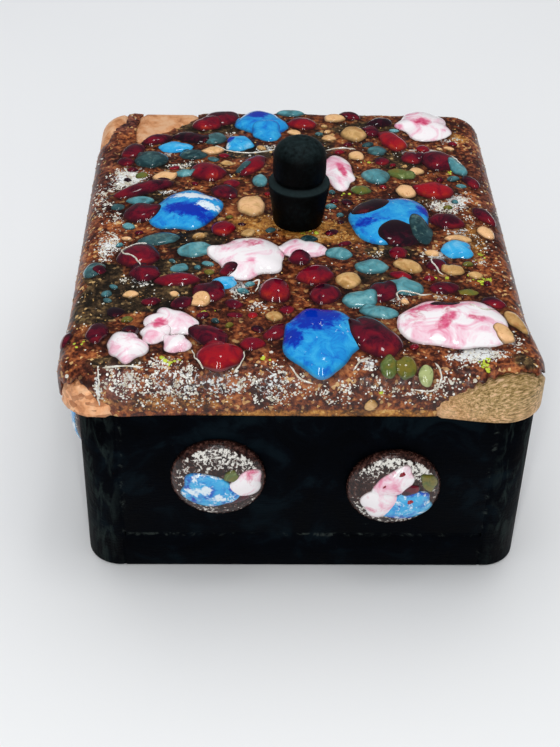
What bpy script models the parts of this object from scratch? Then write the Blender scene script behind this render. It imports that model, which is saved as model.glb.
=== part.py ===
"""Enamel box: a black-painted wooden box with domed enamelled discs on its sides, under an enamelled copper
lid that lifts off by a turned wooden knob. Metres, +Z up. The origin is on the ground, under the middle."""
import math

import bmesh
import bpy
from mathutils import Matrix, Vector
from mathutils.geometry import delaunay_2d_cdt

MM = 0.001
# Points closer than this are merged
MERGE = MM / 100
# Faces that meet at a smaller angle than this are shaded as one, in degrees
SMOOTH_BELOW = 35

# The wooden box
BODY_WIDTH = 0.102
BODY_DEPTH = 0.119
BODY_HEIGHT = 0.0468
BODY_CORNER = 0.008
SIDE_BOARD = 0.009
END_BOARD = 0.009
BASE_BOARD = 0.0104
BOARD_EASE = 0.0004
# Board edges that turn by more than this are eased, in degrees
EASE_ABOVE = 40
BOARD_CORNER_STEPS = 10

# Clear space left between pieces that touch on the real box
GAP = 0.0003

# The lid: a copper pan with a glass coat. Its outer sizes include the coat.
LID_OVERHANG = 0.0012
LID_RISE = 0.0112
LID_CORNER = 0.0085
LID_ROLL = 0.0052
LID_CROWN = 0.0015
COPPER = 0.001
COAT = 0.0008
COAT_STOP = 0.0004
# The loose lid sits a little to the left, and its near corners bow out where the copper was bent
LID_SLIP = -0.0018
NEAR_LEFT_FLARE = 0.0008
NEAR_RIGHT_FLARE = 0.0019
FLARE_REACH = 0.026
CORNER_STEPS = 6
ROLL_STEPS = 3
ROW_STEP = 0.006
NET_STEP = 0.007
NET_CLOSEST = 0.00075

# The knob, turned in one piece
KNOB_FOOT_RADIUS = 0.006
KNOB_SHOULDER_RADIUS = 0.00745
KNOB_SHOULDER_HEIGHT = 0.0108
KNOB_LEDGE = 0.0013
KNOB_CAP_RADIUS = 0.00635
KNOB_HEIGHT = 0.0219
KNOB_DOME = 0.0046
KNOB_ROUND = 0.0005
KNOB_SEGMENTS = 24
KNOB_DOME_STEPS = 4
KNOB_OFF_MIDDLE = (0.0006, -0.0006)

# The domed discs
DISC_RADIUS = 0.0107
DISC_RISE = 0.0045
DISC_EDGE = 0.0008
DISC_HEIGHT = 0.028
DISC_SET_HIGHER = {"medallion_front_left": 0.0013, "medallion_front_right": -0.0014}
# How far the discs' middles lie in from the box's corners, on its ends and on its long sides
DISC_IN_ON_ENDS = 0.0312
DISC_IN_ON_SIDES = 0.0285
DISC_SHOULDER = 2.6
DISC_SEGMENTS = 24
DISC_RINGS = (0.55, 0.8, 0.95)

# Glass lumps and chips were laid out on a lid of this size, in millimetres from its middle, with the rolled
# edge and the rim unrolled flat around the top. A longer or wider lid spreads them.
LAYOUT_WIDTH = 104.4
LAYOUT_DEPTH = 121.4

# Each lump: across, back, half length, half width, turn in degrees, height
LUMPS = (
    # far left
    (-19, 53, 5.5, 4.2, 35, 1.8), (-23, 49, 4.0, 3.4, 0, 1.8), (-8, 50, 7.5, 6.5, -20, 2.4),
    (-6.5, 44, 4.0, 4.5, 0, 1.6), (-14, 38, 4.2, 4.0, 0, 1.6), (-20.5, 41, 3.2, 3.6, 0, 1.2),
    (-27, 41.5, 5.5, 2.8, -15, 1.4), (-36, 40.5, 4.2, 2.6, 20, 1.6), (-42, 34.5, 2.8, 4.6, -25, 1.5),
    (-43.5, 28.5, 2.4, 2.2, 0, 1.3), (-31, 36, 4.4, 3.2, 10, 1.3), (-37, 29.5, 4.6, 4.4, 0, 1.6),
    (-26, 32, 3.8, 2.8, 0, 1.1), (-21, 34, 3.0, 2.2, 10, 1.1), (-22, 22.3, 5.2, 4.0, -20, 2.4),
    (-28, 22, 2.6, 2.0, 0, 1.0), (-33, 20.5, 3.4, 2.4, 15, 1.1), (-38, 14.5, 8.2, 2.9, 28, 1.8),
    (-27, 3.5, 8.6, 9.6, -20, 2.2), (-37.8, 2.8, 4.6, 4.4, 0, 2.2), (-38.5, 8.8, 3.8, 1.9, 0, 1.0),
    (-17.5, 12.5, 4.2, 3.0, -50, 1.6), (-15.8, 16.5, 2.3, 2.0, 0, 1.1), (-10.5, 26, 6.2, 2.8, 58, 1.8),
    (-10.8, 5.6, 3.8, 4.8, 0, 1.3), (-8.6, 18, 2.0, 3.4, 0, 1.2),
    # far right
    (0, 57.5, 4.2, 2.8, 0, 1.3), (3, 50, 4.4, 3.2, 0, 1.8), (12.2, 54, 3.0, 2.6, 0, 1.1),
    (16.5, 55.5, 3.4, 2.2, -30, 1.4), (17, 44.5, 3.8, 4.2, 0, 1.5), (21.7, 46.5, 2.4, 3.4, 0, 1.4),
    (24.5, 51.5, 3.8, 2.4, 15, 1.5), (27, 40.5, 3.4, 5.8, 25, 2.0), (22.6, 35, 2.7, 2.7, 0, 1.1),
    (23.4, 29.3, 2.2, 2.2, 0, 1.1), (16.9, 32, 2.3, 2.4, 0, 1.0), (36.5, 50, 8.0, 8.2, 40, 1.9),
    (38.2, 30.3, 5.4, 4.8, -15, 2.3), (31.5, 31.5, 3.2, 3.2, 0, 1.5), (32, 24.5, 2.2, 1.9, 0, 0.9),
    (11.6, 23, 4.2, 9.0, 15, 1.6), (21.3, 21, 4.0, 3.6, 0, 1.6), (17, 14, 2.6, 2.4, 0, 1.0),
    (28, 22.8, 4.0, 2.6, -20, 1.0), (28.6, 14, 3.0, 3.2, 0, 1.1), (35.6, 14.5, 5.0, 4.2, 0, 2.2),
    (45.8, 20, 1.9, 3.6, 30, 1.3), (47, 3.5, 2.2, 4.4, 30, 1.5), (23, 0, 10.0, 11.0, -30, 2.3),
    (18.5, 4.2, 5.4, 3.4, 30, 3.3), (25, -7.8, 5.2, 4.6, 20, 3.3), (30.5, -5, 3.0, 5.5, 10, 2.8),
    (24, -15, 2.4, 2.3, 0, 1.8), (43.2, 27, 2.4, 3.8, 20, 1.0),
    # near left
    (-37.3, -16.5, 4.8, 5.4, -25, 2.3), (-35.5, -23.5, 3.6, 3.6, 0, 1.7), (-27.8, -26.4, 5.8, 2.4, 5, 1.6),
    (-24, -14, 4.6, 3.4, 10, 1.1), (-33, -9.3, 5.2, 2.8, 10, 1.1), (-11.5, -17.5, 8.0, 9.4, 30, 2.1),
    (-17.6, -5, 3.1, 3.2, 0, 1.8), (-16.2, -23, 2.3, 2.0, 20, 1.2), (-17, -27.8, 2.9, 2.7, 0, 1.2),
    (-20.5, -31.3, 4.4, 3.4, -30, 1.6), (-22.5, -34.6, 2.6, 2.2, 0, 1.0), (-26.5, -35.3, 2.8, 2.2, 20, 1.3),
    (-5.4, -31, 3.8, 4.6, -10, 2.6), (-14.8, -36, 2.2, 1.7, -30, 1.2), (-2.8, -38, 1.9, 1.5, 0, 1.0),
    (-28.5, -42.5, 6.2, 4.6, -35, 1.8), (-32, -47, 3.6, 3.0, -30, 1.7), (-27, -50.3, 2.8, 3.6, 0, 1.6),
    (-37.8, -51.3, 4.6, 4.8, 0, 2.4), (-37.4, -46, 2.3, 1.6, 0, 1.8), (-44.6, -46.2, 2.5, 3.8, -15, 1.8),
    (-52, -46, 1.9, 2.8, 0, 0.9), (-20, -47.5, 5.2, 3.2, -38, 1.9), (-17.6, -54.3, 5.2, 4.4, 0, 2.4),
    (-10.6, -50.2, 2.8, 2.3, 10, 1.4), (-5.2, -46, 3.6, 2.4, 45, 1.5), (-47.5, -21.5, 2.6, 3.4, -30, 0.9),
    # near right
    (4.6, -48.3, 8.4, 11.6, 10, 2.6), (16.2, -47.5, 4.9, 8.2, 28, 2.6), (1.2, -14, 5.3, 4.4, -15, 1.7),
    (0.6, -18.2, 2.9, 2.2, 0, 2.0), (10, -15.5, 3.2, 2.8, 0, 1.0), (4, -24.6, 4.6, 3.8, 15, 1.9),
    (11.6, -26.4, 3.1, 3.4, 0, 1.1), (6, -32, 3.8, 4.0, 0, 2.0), (17.4, -20.8, 4.2, 3.0, 0, 1.2),
    (24, -24, 2.7, 1.7, -20, 1.0), (26, -20, 3.6, 2.8, -30, 1.0), (24.6, -28.6, 5.0, 3.0, -20, 1.2),
    (18.8, -31, 3.6, 4.4, -30, 1.8), (13.8, -34, 4.0, 3.6, 0, 1.2), (18, -38.5, 4.6, 2.4, -15, 1.1),
    (33.6, -28.6, 4.0, 2.3, 10, 1.4), (34.5, -42.5, 11.4, 10.4, -20, 2.2), (44.3, -33.8, 3.2, 2.2, -35, 1.6),
    (45, -46, 2.4, 3.2, 20, 1.2), (48.3, -40.5, 1.9, 4.0, 20, 1.1), (38.4, -12.6, 4.2, 4.0, 0, 1.7),
    (39.3, -7.8, 3.4, 1.9, 0, 1.0), (32.8, -19.2, 2.7, 2.5, 0, 1.3), (36.6, -21.2, 2.7, 2.4, 0, 1.0),
    (37.4, 0, 4.3, 3.6, -10, 2.0), (46.5, -4.2, 2.1, 3.0, 20, 1.0), (18.8, -57, 2.2, 2.8, 0, 1.2),
    (22.5, -57, 2.3, 3.2, 0, 1.2), (26.6, -59, 1.9, 2.4, 0, 0.9),
)
LUMP_RING_STEP = 0.003
LUMP_SHELLS = (0.5, 0.8, 1.0)
# How round-shouldered the lumps are. Those larger than a blob's size have wavier outlines, with a second wave
# that is a share of the first, and each lump's waves are turned a step further, in radians.
LUMP_SHOULDER = 2.4
BLOB_SIZE = 0.0055
BLOB_LOBES = 0.10
SECOND_LOBE = 0.6
LOBE_TURN = 2.4

# Where the coat has chipped off the copper: outlines that run out past the rim
CHIPS = (
    ((-41, 39), (-38, 42), (-35, 45), (-29, 50), (-25.5, 54), (-25, 60), (-26, 80), (-40, 80), (-41, 58),
     (-42, 50), (-42, 44)),
    ((-49.5, 41), (-48, 47), (-45, 52), (-44.5, 56), (-46, 80), (-80, 80), (-80, 50), (-60, 45), (-53, 41)),
    ((-40.5, -80), (-41, -66.5), (-44, -64.5), (-46, -61.5), (-48, -59), (-51, -59.5), (-55, -57), (-80, -52),
     (-80, -80)),
    ((28.5, -80), (29.5, -67), (32, -63.5), (36, -61), (41, -58.5), (47, -57), (51, -56), (55, -52),
     (59, -44), (80, -42), (80, -80)),
)

CHIP_STEP = 0.0016

# Name, colour, roughness, metallic
FINISHES = {
    "black_paint": ((0.012, 0.014, 0.017), 0.42, 0.0),
    "knob_paint": ((0.014, 0.014, 0.015), 0.7, 0.0),
    "copper": ((0.80, 0.45, 0.27), 0.38, 1.0),
    "lid_glass": ((0.27, 0.10, 0.05), 0.12, 0.0),
    "disc_glass": ((0.34, 0.40, 0.62), 0.12, 0.0),
}


def clear_scene():
    for obj in list(bpy.data.objects):
        bpy.data.objects.remove(obj, do_unlink=True)


def finish_material(node, finish):
    colour, roughness, metallic = FINISHES[finish]
    material = bpy.data.materials.new(node)
    material.use_nodes = True
    shader = material.node_tree.nodes["Principled BSDF"]
    shader.inputs["Base Color"].default_value = (*colour, 1.0)
    shader.inputs["Roughness"].default_value = roughness
    shader.inputs["Metallic"].default_value = metallic
    return material


def add_object(node, bm, finish, place=Matrix.Identity(4), smooth=True):
    """Turns a finished bmesh into a named object with its own material."""
    bmesh.ops.recalc_face_normals(bm, faces=bm.faces)
    mesh = bpy.data.meshes.new(node)
    bm.to_mesh(mesh)
    bm.free()
    obj = bpy.data.objects.new(node, mesh)
    obj.matrix_world = place
    mesh.materials.append(finish_material(node, finish))
    bpy.context.scene.collection.objects.link(obj)
    if smooth:
        mesh.shade_smooth()
        mesh.set_sharp_from_angle(angle=math.radians(SMOOTH_BELOW))
    return obj


def extrude_outline(points, low, high):
    """A prism between two heights, from a plan outline."""
    bm = bmesh.new()
    base = bm.faces.new([bm.verts.new((x, y, low)) for x, y in points])
    top = bmesh.ops.extrude_face_region(bm, geom=[base])["geom"]
    raised = [part for part in top if isinstance(part, bmesh.types.BMVert)]
    bmesh.ops.translate(bm, verts=raised, vec=(0, 0, high - low))
    return bm


def ease_edges(obj):
    """Takes the sharpness off a board's corners."""
    ease = obj.modifiers.new("ease", "BEVEL")
    ease.width = BOARD_EASE
    ease.segments = 1
    ease.limit_method = "ANGLE"
    ease.angle_limit = math.radians(EASE_ABOVE)


def arc(centre, radius, start, stop, steps):
    """Points along a quarter turn, or any other arc, given in degrees."""
    turns = [math.radians(start + (stop - start) * i / steps) for i in range(steps + 1)]
    return [(centre[0] + radius * math.cos(t), centre[1] + radius * math.sin(t)) for t in turns]


def make_side_board(node, side):
    """A full-height side board, whose outer upright corners are rounded; side is -1 or 1."""
    inner = BODY_WIDTH / 2 - SIDE_BOARD
    half_depth = BODY_DEPTH / 2
    corner = min(BODY_CORNER, SIDE_BOARD - BOARD_EASE)
    middle = BODY_WIDTH / 2 - corner
    outline = [(inner, -half_depth)]
    outline += arc((middle, corner - half_depth), corner, -90, 0, BOARD_CORNER_STEPS)
    outline += arc((middle, half_depth - corner), corner, 0, 90, BOARD_CORNER_STEPS)
    outline += [(inner, half_depth)]
    bm = extrude_outline([(side * x, y) for x, y in outline], 0.0, BODY_HEIGHT)
    ease_edges(add_object(node, bm, "black_paint", smooth=False))


def make_box_board(node, x_range, y_range, z_range):
    (x0, x1), (y0, y1), (z0, z1) = x_range, y_range, z_range
    bm = extrude_outline([(x0, y0), (x1, y0), (x1, y1), (x0, y1)], z0, z1)
    ease_edges(add_object(node, bm, "black_paint", smooth=False))


def make_body():
    make_side_board("side_left", -1)
    make_side_board("side_right", 1)
    half = BODY_WIDTH / 2 - SIDE_BOARD - GAP
    front = -BODY_DEPTH / 2
    make_box_board("base_board", (-half, half), (front, -front), (0.0, BASE_BOARD))
    wall = (BASE_BOARD + GAP, BODY_HEIGHT)
    make_box_board("front_panel", (-half, half), (front, front + END_BOARD), wall)
    make_box_board("back_panel", (-half, half), (-front - END_BOARD, -front), wall)


# Half sizes of the lid over its coat, and of the flat top inside its rolled edge
LID_HALF_X = BODY_WIDTH / 2 + LID_OVERHANG
LID_HALF_Y = BODY_DEPTH / 2 + LID_OVERHANG
TOP_CORNER = LID_CORNER - LID_ROLL
RIM_LOW = BODY_HEIGHT + GAP
ROLL_LENGTH = LID_ROLL * math.pi / 2
SKIRT_LENGTH = LID_RISE - LID_ROLL


def eased(value):
    """A smooth step from 0 to 1."""
    share = min(max(value, 0.0), 1.0)
    return share * share * (3 - 2 * share)


def corner_flare(s, t):
    """How far the bent copper bows out past a straight edge, near the two front corners."""
    run = FLARE_REACH - LID_CORNER
    along = eased((abs(s) - LID_HALF_X + FLARE_REACH) / run) * eased((-t - LID_HALF_Y + FLARE_REACH) / run)
    return along * (NEAR_LEFT_FLARE if s < 0 else NEAR_RIGHT_FLARE)


def wrap(s, t, lift, crowned=False):
    """Bends a point of the unrolled lid round its edge. Lift is measured outwards from the coat's outer face."""
    core = Vector((max(min(s, LID_HALF_X - LID_CORNER), LID_CORNER - LID_HALF_X),
                   max(min(t, LID_HALF_Y - LID_CORNER), LID_CORNER - LID_HALF_Y)))
    away = Vector((s, t)) - core
    reach = away.length
    outward = away.normalized() if reach > 0 else Vector((0, 0))
    past = max(reach - TOP_CORNER, 0.0)
    bend = min(past / LID_ROLL, math.pi / 2)
    bow = LID_ROLL + lift + corner_flare(s, t)
    plan = core + outward * (min(reach, TOP_CORNER) + bow * math.sin(bend))
    height = RIM_LOW + LID_RISE - LID_ROLL * (1 - math.cos(bend)) + lift * math.cos(bend)
    height -= max(past - ROLL_LENGTH, 0.0)
    if crowned:
        height += LID_CROWN * max(1 - (s / LID_HALF_X) ** 2, 0) * max(1 - (t / LID_HALF_Y) ** 2, 0)
    return Vector((plan.x + LID_SLIP, plan.y, height))


def rounded_row(past):
    """A closed row of points round the unrolled lid, a given way past the flat top's border."""
    radius = TOP_CORNER + past
    mid_x, mid_y = LID_HALF_X - LID_CORNER, LID_HALF_Y - LID_CORNER
    row = []
    for quarter, (cx, cy) in enumerate(((mid_x, mid_y), (-mid_x, mid_y), (-mid_x, -mid_y), (mid_x, -mid_y))):
        row += arc((cx, cy), radius, 90 * quarter, 90 * quarter + 90, CORNER_STEPS)
        length = 2 * (mid_x if quarter % 2 == 0 else mid_y)
        count = max(round(length / ROW_STEP), 1)
        start = Vector(row[-1])
        turn = math.radians(90 * quarter + 180)
        along = Vector((math.cos(turn), math.sin(turn)))
        row += [tuple(start + along * length * i / count) for i in range(1, count)]
    return row


def edge_rows():
    """How far past the flat top each row of the net lies: round the roll, then down the rim."""
    rows = [ROLL_LENGTH * i / ROLL_STEPS for i in range(ROLL_STEPS + 1)]
    return rows + [ROLL_LENGTH + (SKIRT_LENGTH - COAT_STOP) / 2]


class Lump:
    """A blob of glass on the lid, in the unrolled plan."""

    def __init__(self, index, row):
        across, back, length, width, turn, height = row
        self.centre = Vector((across * 2 * LID_HALF_X / LAYOUT_WIDTH, back * 2 * LID_HALF_Y / LAYOUT_DEPTH))
        self.length = length * MM
        self.width = width * MM
        self.turn = math.radians(turn)
        self.height = height * MM
        self.phase = index * LOBE_TURN
        self.lobes = BLOB_LOBES if max(self.length, self.width) > BLOB_SIZE else BLOB_LOBES / 3

    def edge(self, angle):
        """How far the wavy outline runs out at an angle, as a share of the ellipse."""
        return 1 + self.lobes * (math.cos(3 * angle + self.phase) + SECOND_LOBE * math.cos(2 * angle - self.phase))

    def point(self, angle, share):
        out = share * self.edge(angle)
        spot = Vector((self.length * math.cos(angle) * out, self.width * math.sin(angle) * out))
        spot.rotate(Matrix.Rotation(self.turn, 2))
        return self.centre + spot

    def rise(self, spot):
        """The glass's height over a spot: a round-shouldered dome."""
        local = spot - self.centre
        local.rotate(Matrix.Rotation(-self.turn, 2))
        x, y = local.x / self.length, local.y / self.width
        out = math.hypot(x, y) / self.edge(math.atan2(y, x))
        return self.height * math.sqrt(max(1 - out ** LUMP_SHOULDER, 0.0))

    def net(self):
        """Points that give the lump its shape: its middle, its shoulder and its edge."""
        around = math.pi * (self.length + self.width)
        count = max(6, round(around / LUMP_RING_STEP))
        points = [self.centre]
        shares = LUMP_SHELLS if self.lobes == BLOB_LOBES else LUMP_SHELLS[-2:]
        for share in shares:
            points += [self.point(2 * math.pi * i / count, share) for i in range(count)]
        return points


def scaled_chips():
    """The chips' outlines on this lid, in steps short enough to bend round its edge."""
    across, back = 2 * LID_HALF_X / LAYOUT_WIDTH, 2 * LID_HALF_Y / LAYOUT_DEPTH
    chips = []
    for chip in CHIPS:
        corners = [Vector((x * across, y * back)) for x, y in chip]
        outline = []
        for a, b in zip(corners, corners[1:] + corners[:1]):
            count = max(1, math.ceil((b - a).length / CHIP_STEP))
            outline += [a.lerp(b, i / count) for i in range(count)]
        chips.append(outline)
    return chips


def inside(spot, outline):
    """Whether a spot lies inside a closed outline, by counting the edges on its right."""
    odd = False
    for a, b in zip(outline, outline[1:] + outline[:1]):
        if (a[1] > spot[1]) != (b[1] > spot[1]):
            cross = a[0] + (spot[1] - a[1]) * (b[0] - a[0]) / (b[1] - a[1])
            odd ^= cross > spot[0]
    return odd


def thin_out(points, kept=()):
    """Drops each point that lies too close to one already kept."""
    cell = NET_CLOSEST
    grid = {}
    result = []
    for number, point in enumerate(list(kept) + list(points)):
        column, row = int(point[0] // cell), int(point[1] // cell)
        near = (other for i in (-1, 0, 1) for j in (-1, 0, 1) for other in grid.get((column + i, row + j), ()))
        if all((Vector(point) - Vector(other)).length > cell for other in near):
            grid.setdefault((column, row), []).append(point)
            if number >= len(kept):
                result.append(point)
    return result


def border_of(rim):
    """The coat's outline and its chips' edges: the points and the edges that both faces of the coat share."""
    points = [Vector(spot) for spot in rim]
    edges = [(i, (i + 1) % len(points)) for i in range(len(points))]
    for chip in scaled_chips():
        first = len(points)
        points += chip
        edges += [(first + i, first + (i + 1) % len(chip)) for i in range(len(chip))]
    return points, edges


def triangulate(points, rim, border, edges):
    """Fills the coat's outline with triangles over the points, leaving the chips open."""
    chips = scaled_chips()
    spots, _, faces, *_ = delaunay_2d_cdt(border + points, edges, [], 0, NET_CLOSEST / 100)

    def keeps(face):
        middle = sum((spots[i] for i in face), Vector((0, 0))) / len(face)
        return inside(middle, rim) and not any(inside(middle, chip) for chip in chips)

    return spots, [face for face in faces if keeps(face)]


def clear_of_border(points, rim, margin):
    """The points that lie inside the coat, away from its outline and its chips."""
    edges = []
    for outline in [rim] + scaled_chips():
        edges += zip(outline, outline[1:] + outline[:1])

    def clears(spot):
        if not inside(spot, rim) or any(inside(spot, chip) for chip in scaled_chips()):
            return False
        for a, b in edges:
            run = Vector(b) - Vector(a)
            share = max(0.0, min(1.0, (Vector(spot) - Vector(a)).dot(run) / run.length_squared))
            if (Vector(spot) - Vector(a) - run * share).length < margin:
                return False
        return True

    return [spot for spot in points if clears(spot)]


def top_grid():
    """Sparse points over the flat top, between the lumps."""
    wide, deep = LID_HALF_X - LID_ROLL, LID_HALF_Y - LID_ROLL
    columns, rows = round(2 * wide / NET_STEP), round(2 * deep / NET_STEP)
    return [(wide * (2 * i / columns - 1), deep * (2 * j / rows - 1))
            for i in range(1, columns) for j in range(1, rows)]


def make_lid_enamel(lumps):
    """The glass coat: one closed shell, lumpy outside and plain against the copper."""
    rim = [Vector(spot) for spot in rounded_row(ROLL_LENGTH + SKIRT_LENGTH - COAT_STOP)]
    border, edges = border_of(rim)
    rows = [spot for past in edge_rows() for spot in rounded_row(past)]
    lumpy = [tuple(spot) for lump in lumps for spot in lump.net()]
    outer_points = thin_out(clear_of_border(lumpy + rows + top_grid(), rim, NET_CLOSEST))
    inner_points = thin_out(clear_of_border(rows, rim, NET_CLOSEST))

    def height(spot):
        return max(lump.rise(spot) for lump in lumps)

    bm = bmesh.new()
    layers = []
    for points, lumpy_face in ((outer_points, True), (inner_points, False)):
        spots, faces = triangulate([Vector(p) for p in points], rim, border, edges)
        used = sorted({i for face in faces for i in face})
        places = {}
        for i in used:
            lift = height(spots[i]) if lumpy_face else -COAT
            places[i] = bm.verts.new(wrap(spots[i].x, spots[i].y, lift, crowned=lumpy_face))
        sides = {}
        for face in faces:
            turn = face if lumpy_face else face[::-1]
            bm.faces.new([places[i] for i in turn])
            for a, b in zip(face, face[1:] + face[:1]):
                sides[(a, b)] = True
        outline = [(a, b) for a, b in sides if (b, a) not in sides]
        layers.append((spots, places, outline))

    (outer_spots, outer, outline), (inner_spots, inner, inner_outline) = layers
    tree = {(round(inner_spots[i].x, 6), round(inner_spots[i].y, 6)): i for edge in inner_outline for i in edge}
    for a, b in outline:
        below_a = inner[tree[(round(outer_spots[a].x, 6), round(outer_spots[a].y, 6))]]
        below_b = inner[tree[(round(outer_spots[b].x, 6), round(outer_spots[b].y, 6))]]
        bm.faces.new([outer[b], outer[a], below_a, below_b])
    add_object("lid_enamel", bm, "lid_glass")


def bridge(bm, loops):
    """Joins a stack of closed loops, each with as many points, and caps both ends."""
    rings = [[bm.verts.new(point) for point in loop] for loop in loops]
    for low, high in zip(rings, rings[1:]):
        for i in range(len(low)):
            j = (i + 1) % len(low)
            bm.faces.new([low[i], low[j], high[j], high[i]])
    bm.faces.new(rings[0][::-1])
    bm.faces.new(rings[-1])


def make_lid_pan():
    """The copper pan under the coat: a flat top, a rolled edge and a rim turned down onto the walls."""
    outer_lift = -COAT - GAP
    rows = [ROLL_LENGTH + SKIRT_LENGTH]
    rows += [ROLL_LENGTH * i / ROLL_STEPS for i in range(ROLL_STEPS, -1, -1)]

    def loops(lift):
        return [[wrap(x, y, lift) for x, y in rounded_row(past)] for past in rows]

    outside, cavity = loops(outer_lift), loops(outer_lift - COPPER)
    bm = bmesh.new()
    bridge(bm, cavity[::-1] + outside)
    add_object("lid_pan", bm, "copper")


def make_knob():
    """The knob: a foot that widens to a shoulder, a narrow ledge and a domed cap, turned about its axis."""
    seat = KNOB_CAP_RADIUS - KNOB_ROUND
    straight = KNOB_HEIGHT - KNOB_DOME
    profile = [(KNOB_FOOT_RADIUS, 0.0), (KNOB_SHOULDER_RADIUS, KNOB_SHOULDER_HEIGHT - KNOB_ROUND)]
    profile += [(KNOB_SHOULDER_RADIUS - KNOB_ROUND, KNOB_SHOULDER_HEIGHT)]
    profile += [(seat, KNOB_SHOULDER_HEIGHT + KNOB_ROUND), (seat, KNOB_SHOULDER_HEIGHT + KNOB_LEDGE)]
    profile += [(KNOB_CAP_RADIUS, (KNOB_SHOULDER_HEIGHT + straight) / 2)]
    for i in range(KNOB_DOME_STEPS):
        turn = math.radians(90 * i / KNOB_DOME_STEPS)
        profile += [(KNOB_CAP_RADIUS * math.cos(turn), straight + KNOB_DOME * math.sin(turn))]
    bm = bmesh.new()
    points = [(0.0, 0.0)] + profile + [(0.0, KNOB_HEIGHT)]
    verts = [bm.verts.new((x, 0.0, z)) for x, z in points]
    lines = [bm.edges.new(pair) for pair in zip(verts, verts[1:])]
    bmesh.ops.spin(bm, geom=verts + lines, cent=(0, 0, 0), axis=(0, 0, 1), angle=2 * math.pi,
                   steps=KNOB_SEGMENTS, use_merge=True)
    bmesh.ops.remove_doubles(bm, verts=bm.verts, dist=MERGE)
    across, back = KNOB_OFF_MIDDLE
    seat_height = RIM_LOW + LID_RISE + LID_CROWN + GAP
    add_object("knob", bm, "knob_paint", Matrix.Translation((LID_SLIP + across, back, seat_height)))


def make_disc(node, place):
    """A domed enamelled disc with a flat back, set on a wall."""
    bm = bmesh.new()
    profile = [(0.0, 0.0), (DISC_RADIUS, 0.0), (DISC_RADIUS, DISC_EDGE)]
    for share in reversed(DISC_RINGS):
        profile.append((DISC_RADIUS * share, DISC_EDGE + (DISC_RISE - DISC_EDGE) * math.sqrt(1 - share ** DISC_SHOULDER)))
    profile.append((0.0, DISC_RISE))
    verts = [bm.verts.new((x, 0.0, z)) for x, z in profile]
    lines = [bm.edges.new(pair) for pair in zip(verts, verts[1:])]
    bmesh.ops.spin(bm, geom=verts + lines, cent=(0, 0, 0), axis=(0, 0, 1), angle=2 * math.pi,
                   steps=DISC_SEGMENTS, use_merge=True)
    bmesh.ops.remove_doubles(bm, verts=bm.verts, dist=MERGE)
    add_object(node, bm, "disc_glass", place)


def make_discs():
    """Two discs on each wall: facing front, back, left and right."""
    on_ends = BODY_WIDTH / 2 - DISC_IN_ON_ENDS
    on_sides = BODY_DEPTH / 2 - DISC_IN_ON_SIDES
    walls = {
        "front": (-90, BODY_DEPTH / 2, on_ends),
        "back": (90, BODY_DEPTH / 2, on_ends),
        "left": (180, BODY_WIDTH / 2, on_sides),
        "right": (0, BODY_WIDTH / 2, on_sides),
    }
    for wall, (facing, distance, off_middle) in walls.items():
        turn = Matrix.Rotation(math.radians(facing), 4, "Z") @ Matrix.Rotation(math.radians(90), 4, "Y")
        outward = Vector((math.cos(math.radians(facing)), math.sin(math.radians(facing)), 0))
        along = Vector((abs(outward.y), abs(outward.x), 0))
        ends = ("left", "right") if wall in ("front", "back") else ("near", "far")
        for end, sign in zip(ends, (-1, 1)):
            node = f"medallion_{wall}_{end}"
            height = DISC_HEIGHT + DISC_SET_HIGHER.get(node, 0.0)
            spot = outward * (distance + GAP) + along * (sign * off_middle) + Vector((0, 0, height))
            make_disc(node, Matrix.Translation(spot) @ turn)


def main():
    clear_scene()
    make_body()
    make_lid_pan()
    make_lid_enamel([Lump(index, row) for index, row in enumerate(LUMPS)])
    make_knob()
    make_discs()


main()
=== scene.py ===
# %% [markdown]
# # A little enamel box
# A black-painted wooden box carries a loose copper lid. The lid is coated in amber-brown enamel, and lumps
# and grains of coloured glass are melted into it. Eight small domed discs of the same work sit on the
# walls. This lesson dresses the plain solids of that box: it makes the fine glass, the worn copper and the
# paint.

# %% Load the frame
import itertools
import math

import bmesh
import bpy
import numpy as np
from mathutils import Matrix, Vector, noise


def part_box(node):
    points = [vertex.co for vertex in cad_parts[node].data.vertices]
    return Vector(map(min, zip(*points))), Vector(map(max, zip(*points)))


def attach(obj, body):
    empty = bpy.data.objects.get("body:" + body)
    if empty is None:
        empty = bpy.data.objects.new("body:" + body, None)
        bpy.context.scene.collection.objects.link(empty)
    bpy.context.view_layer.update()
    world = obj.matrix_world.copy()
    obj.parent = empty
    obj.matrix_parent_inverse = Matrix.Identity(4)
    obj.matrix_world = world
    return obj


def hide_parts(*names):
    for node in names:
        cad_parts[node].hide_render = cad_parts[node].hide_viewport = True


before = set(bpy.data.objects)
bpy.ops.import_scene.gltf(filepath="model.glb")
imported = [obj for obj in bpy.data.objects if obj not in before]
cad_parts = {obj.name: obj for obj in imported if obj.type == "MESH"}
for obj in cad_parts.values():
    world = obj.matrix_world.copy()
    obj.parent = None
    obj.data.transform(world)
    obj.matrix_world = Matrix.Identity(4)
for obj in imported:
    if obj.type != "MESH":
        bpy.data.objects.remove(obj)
bpy.context.view_layer.update()
print("pieces in the frame:", len(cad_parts))

# %% [markdown]
# ## Camera
# The photograph looks down on the box from the front, a little from the left. A long lens keeps the box's
# uprights nearly straight. The camera is placed by its own three directions. They are worked out from how
# far it looks down, is turned aside and leans, because that is easier to check than three Euler angles.

# %% Camera
PHOTO_LONG_SIDE = 747
FOCAL_PIXELS = 1400
SENSOR = 36.0
CAMERA_PLACE = Vector((-0.0141, -0.2936, 0.2419))
LOOKS_DOWN = math.radians(38.11)
TURNED_RIGHT = math.radians(1.86)
LEANS = math.radians(1.515)

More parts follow.
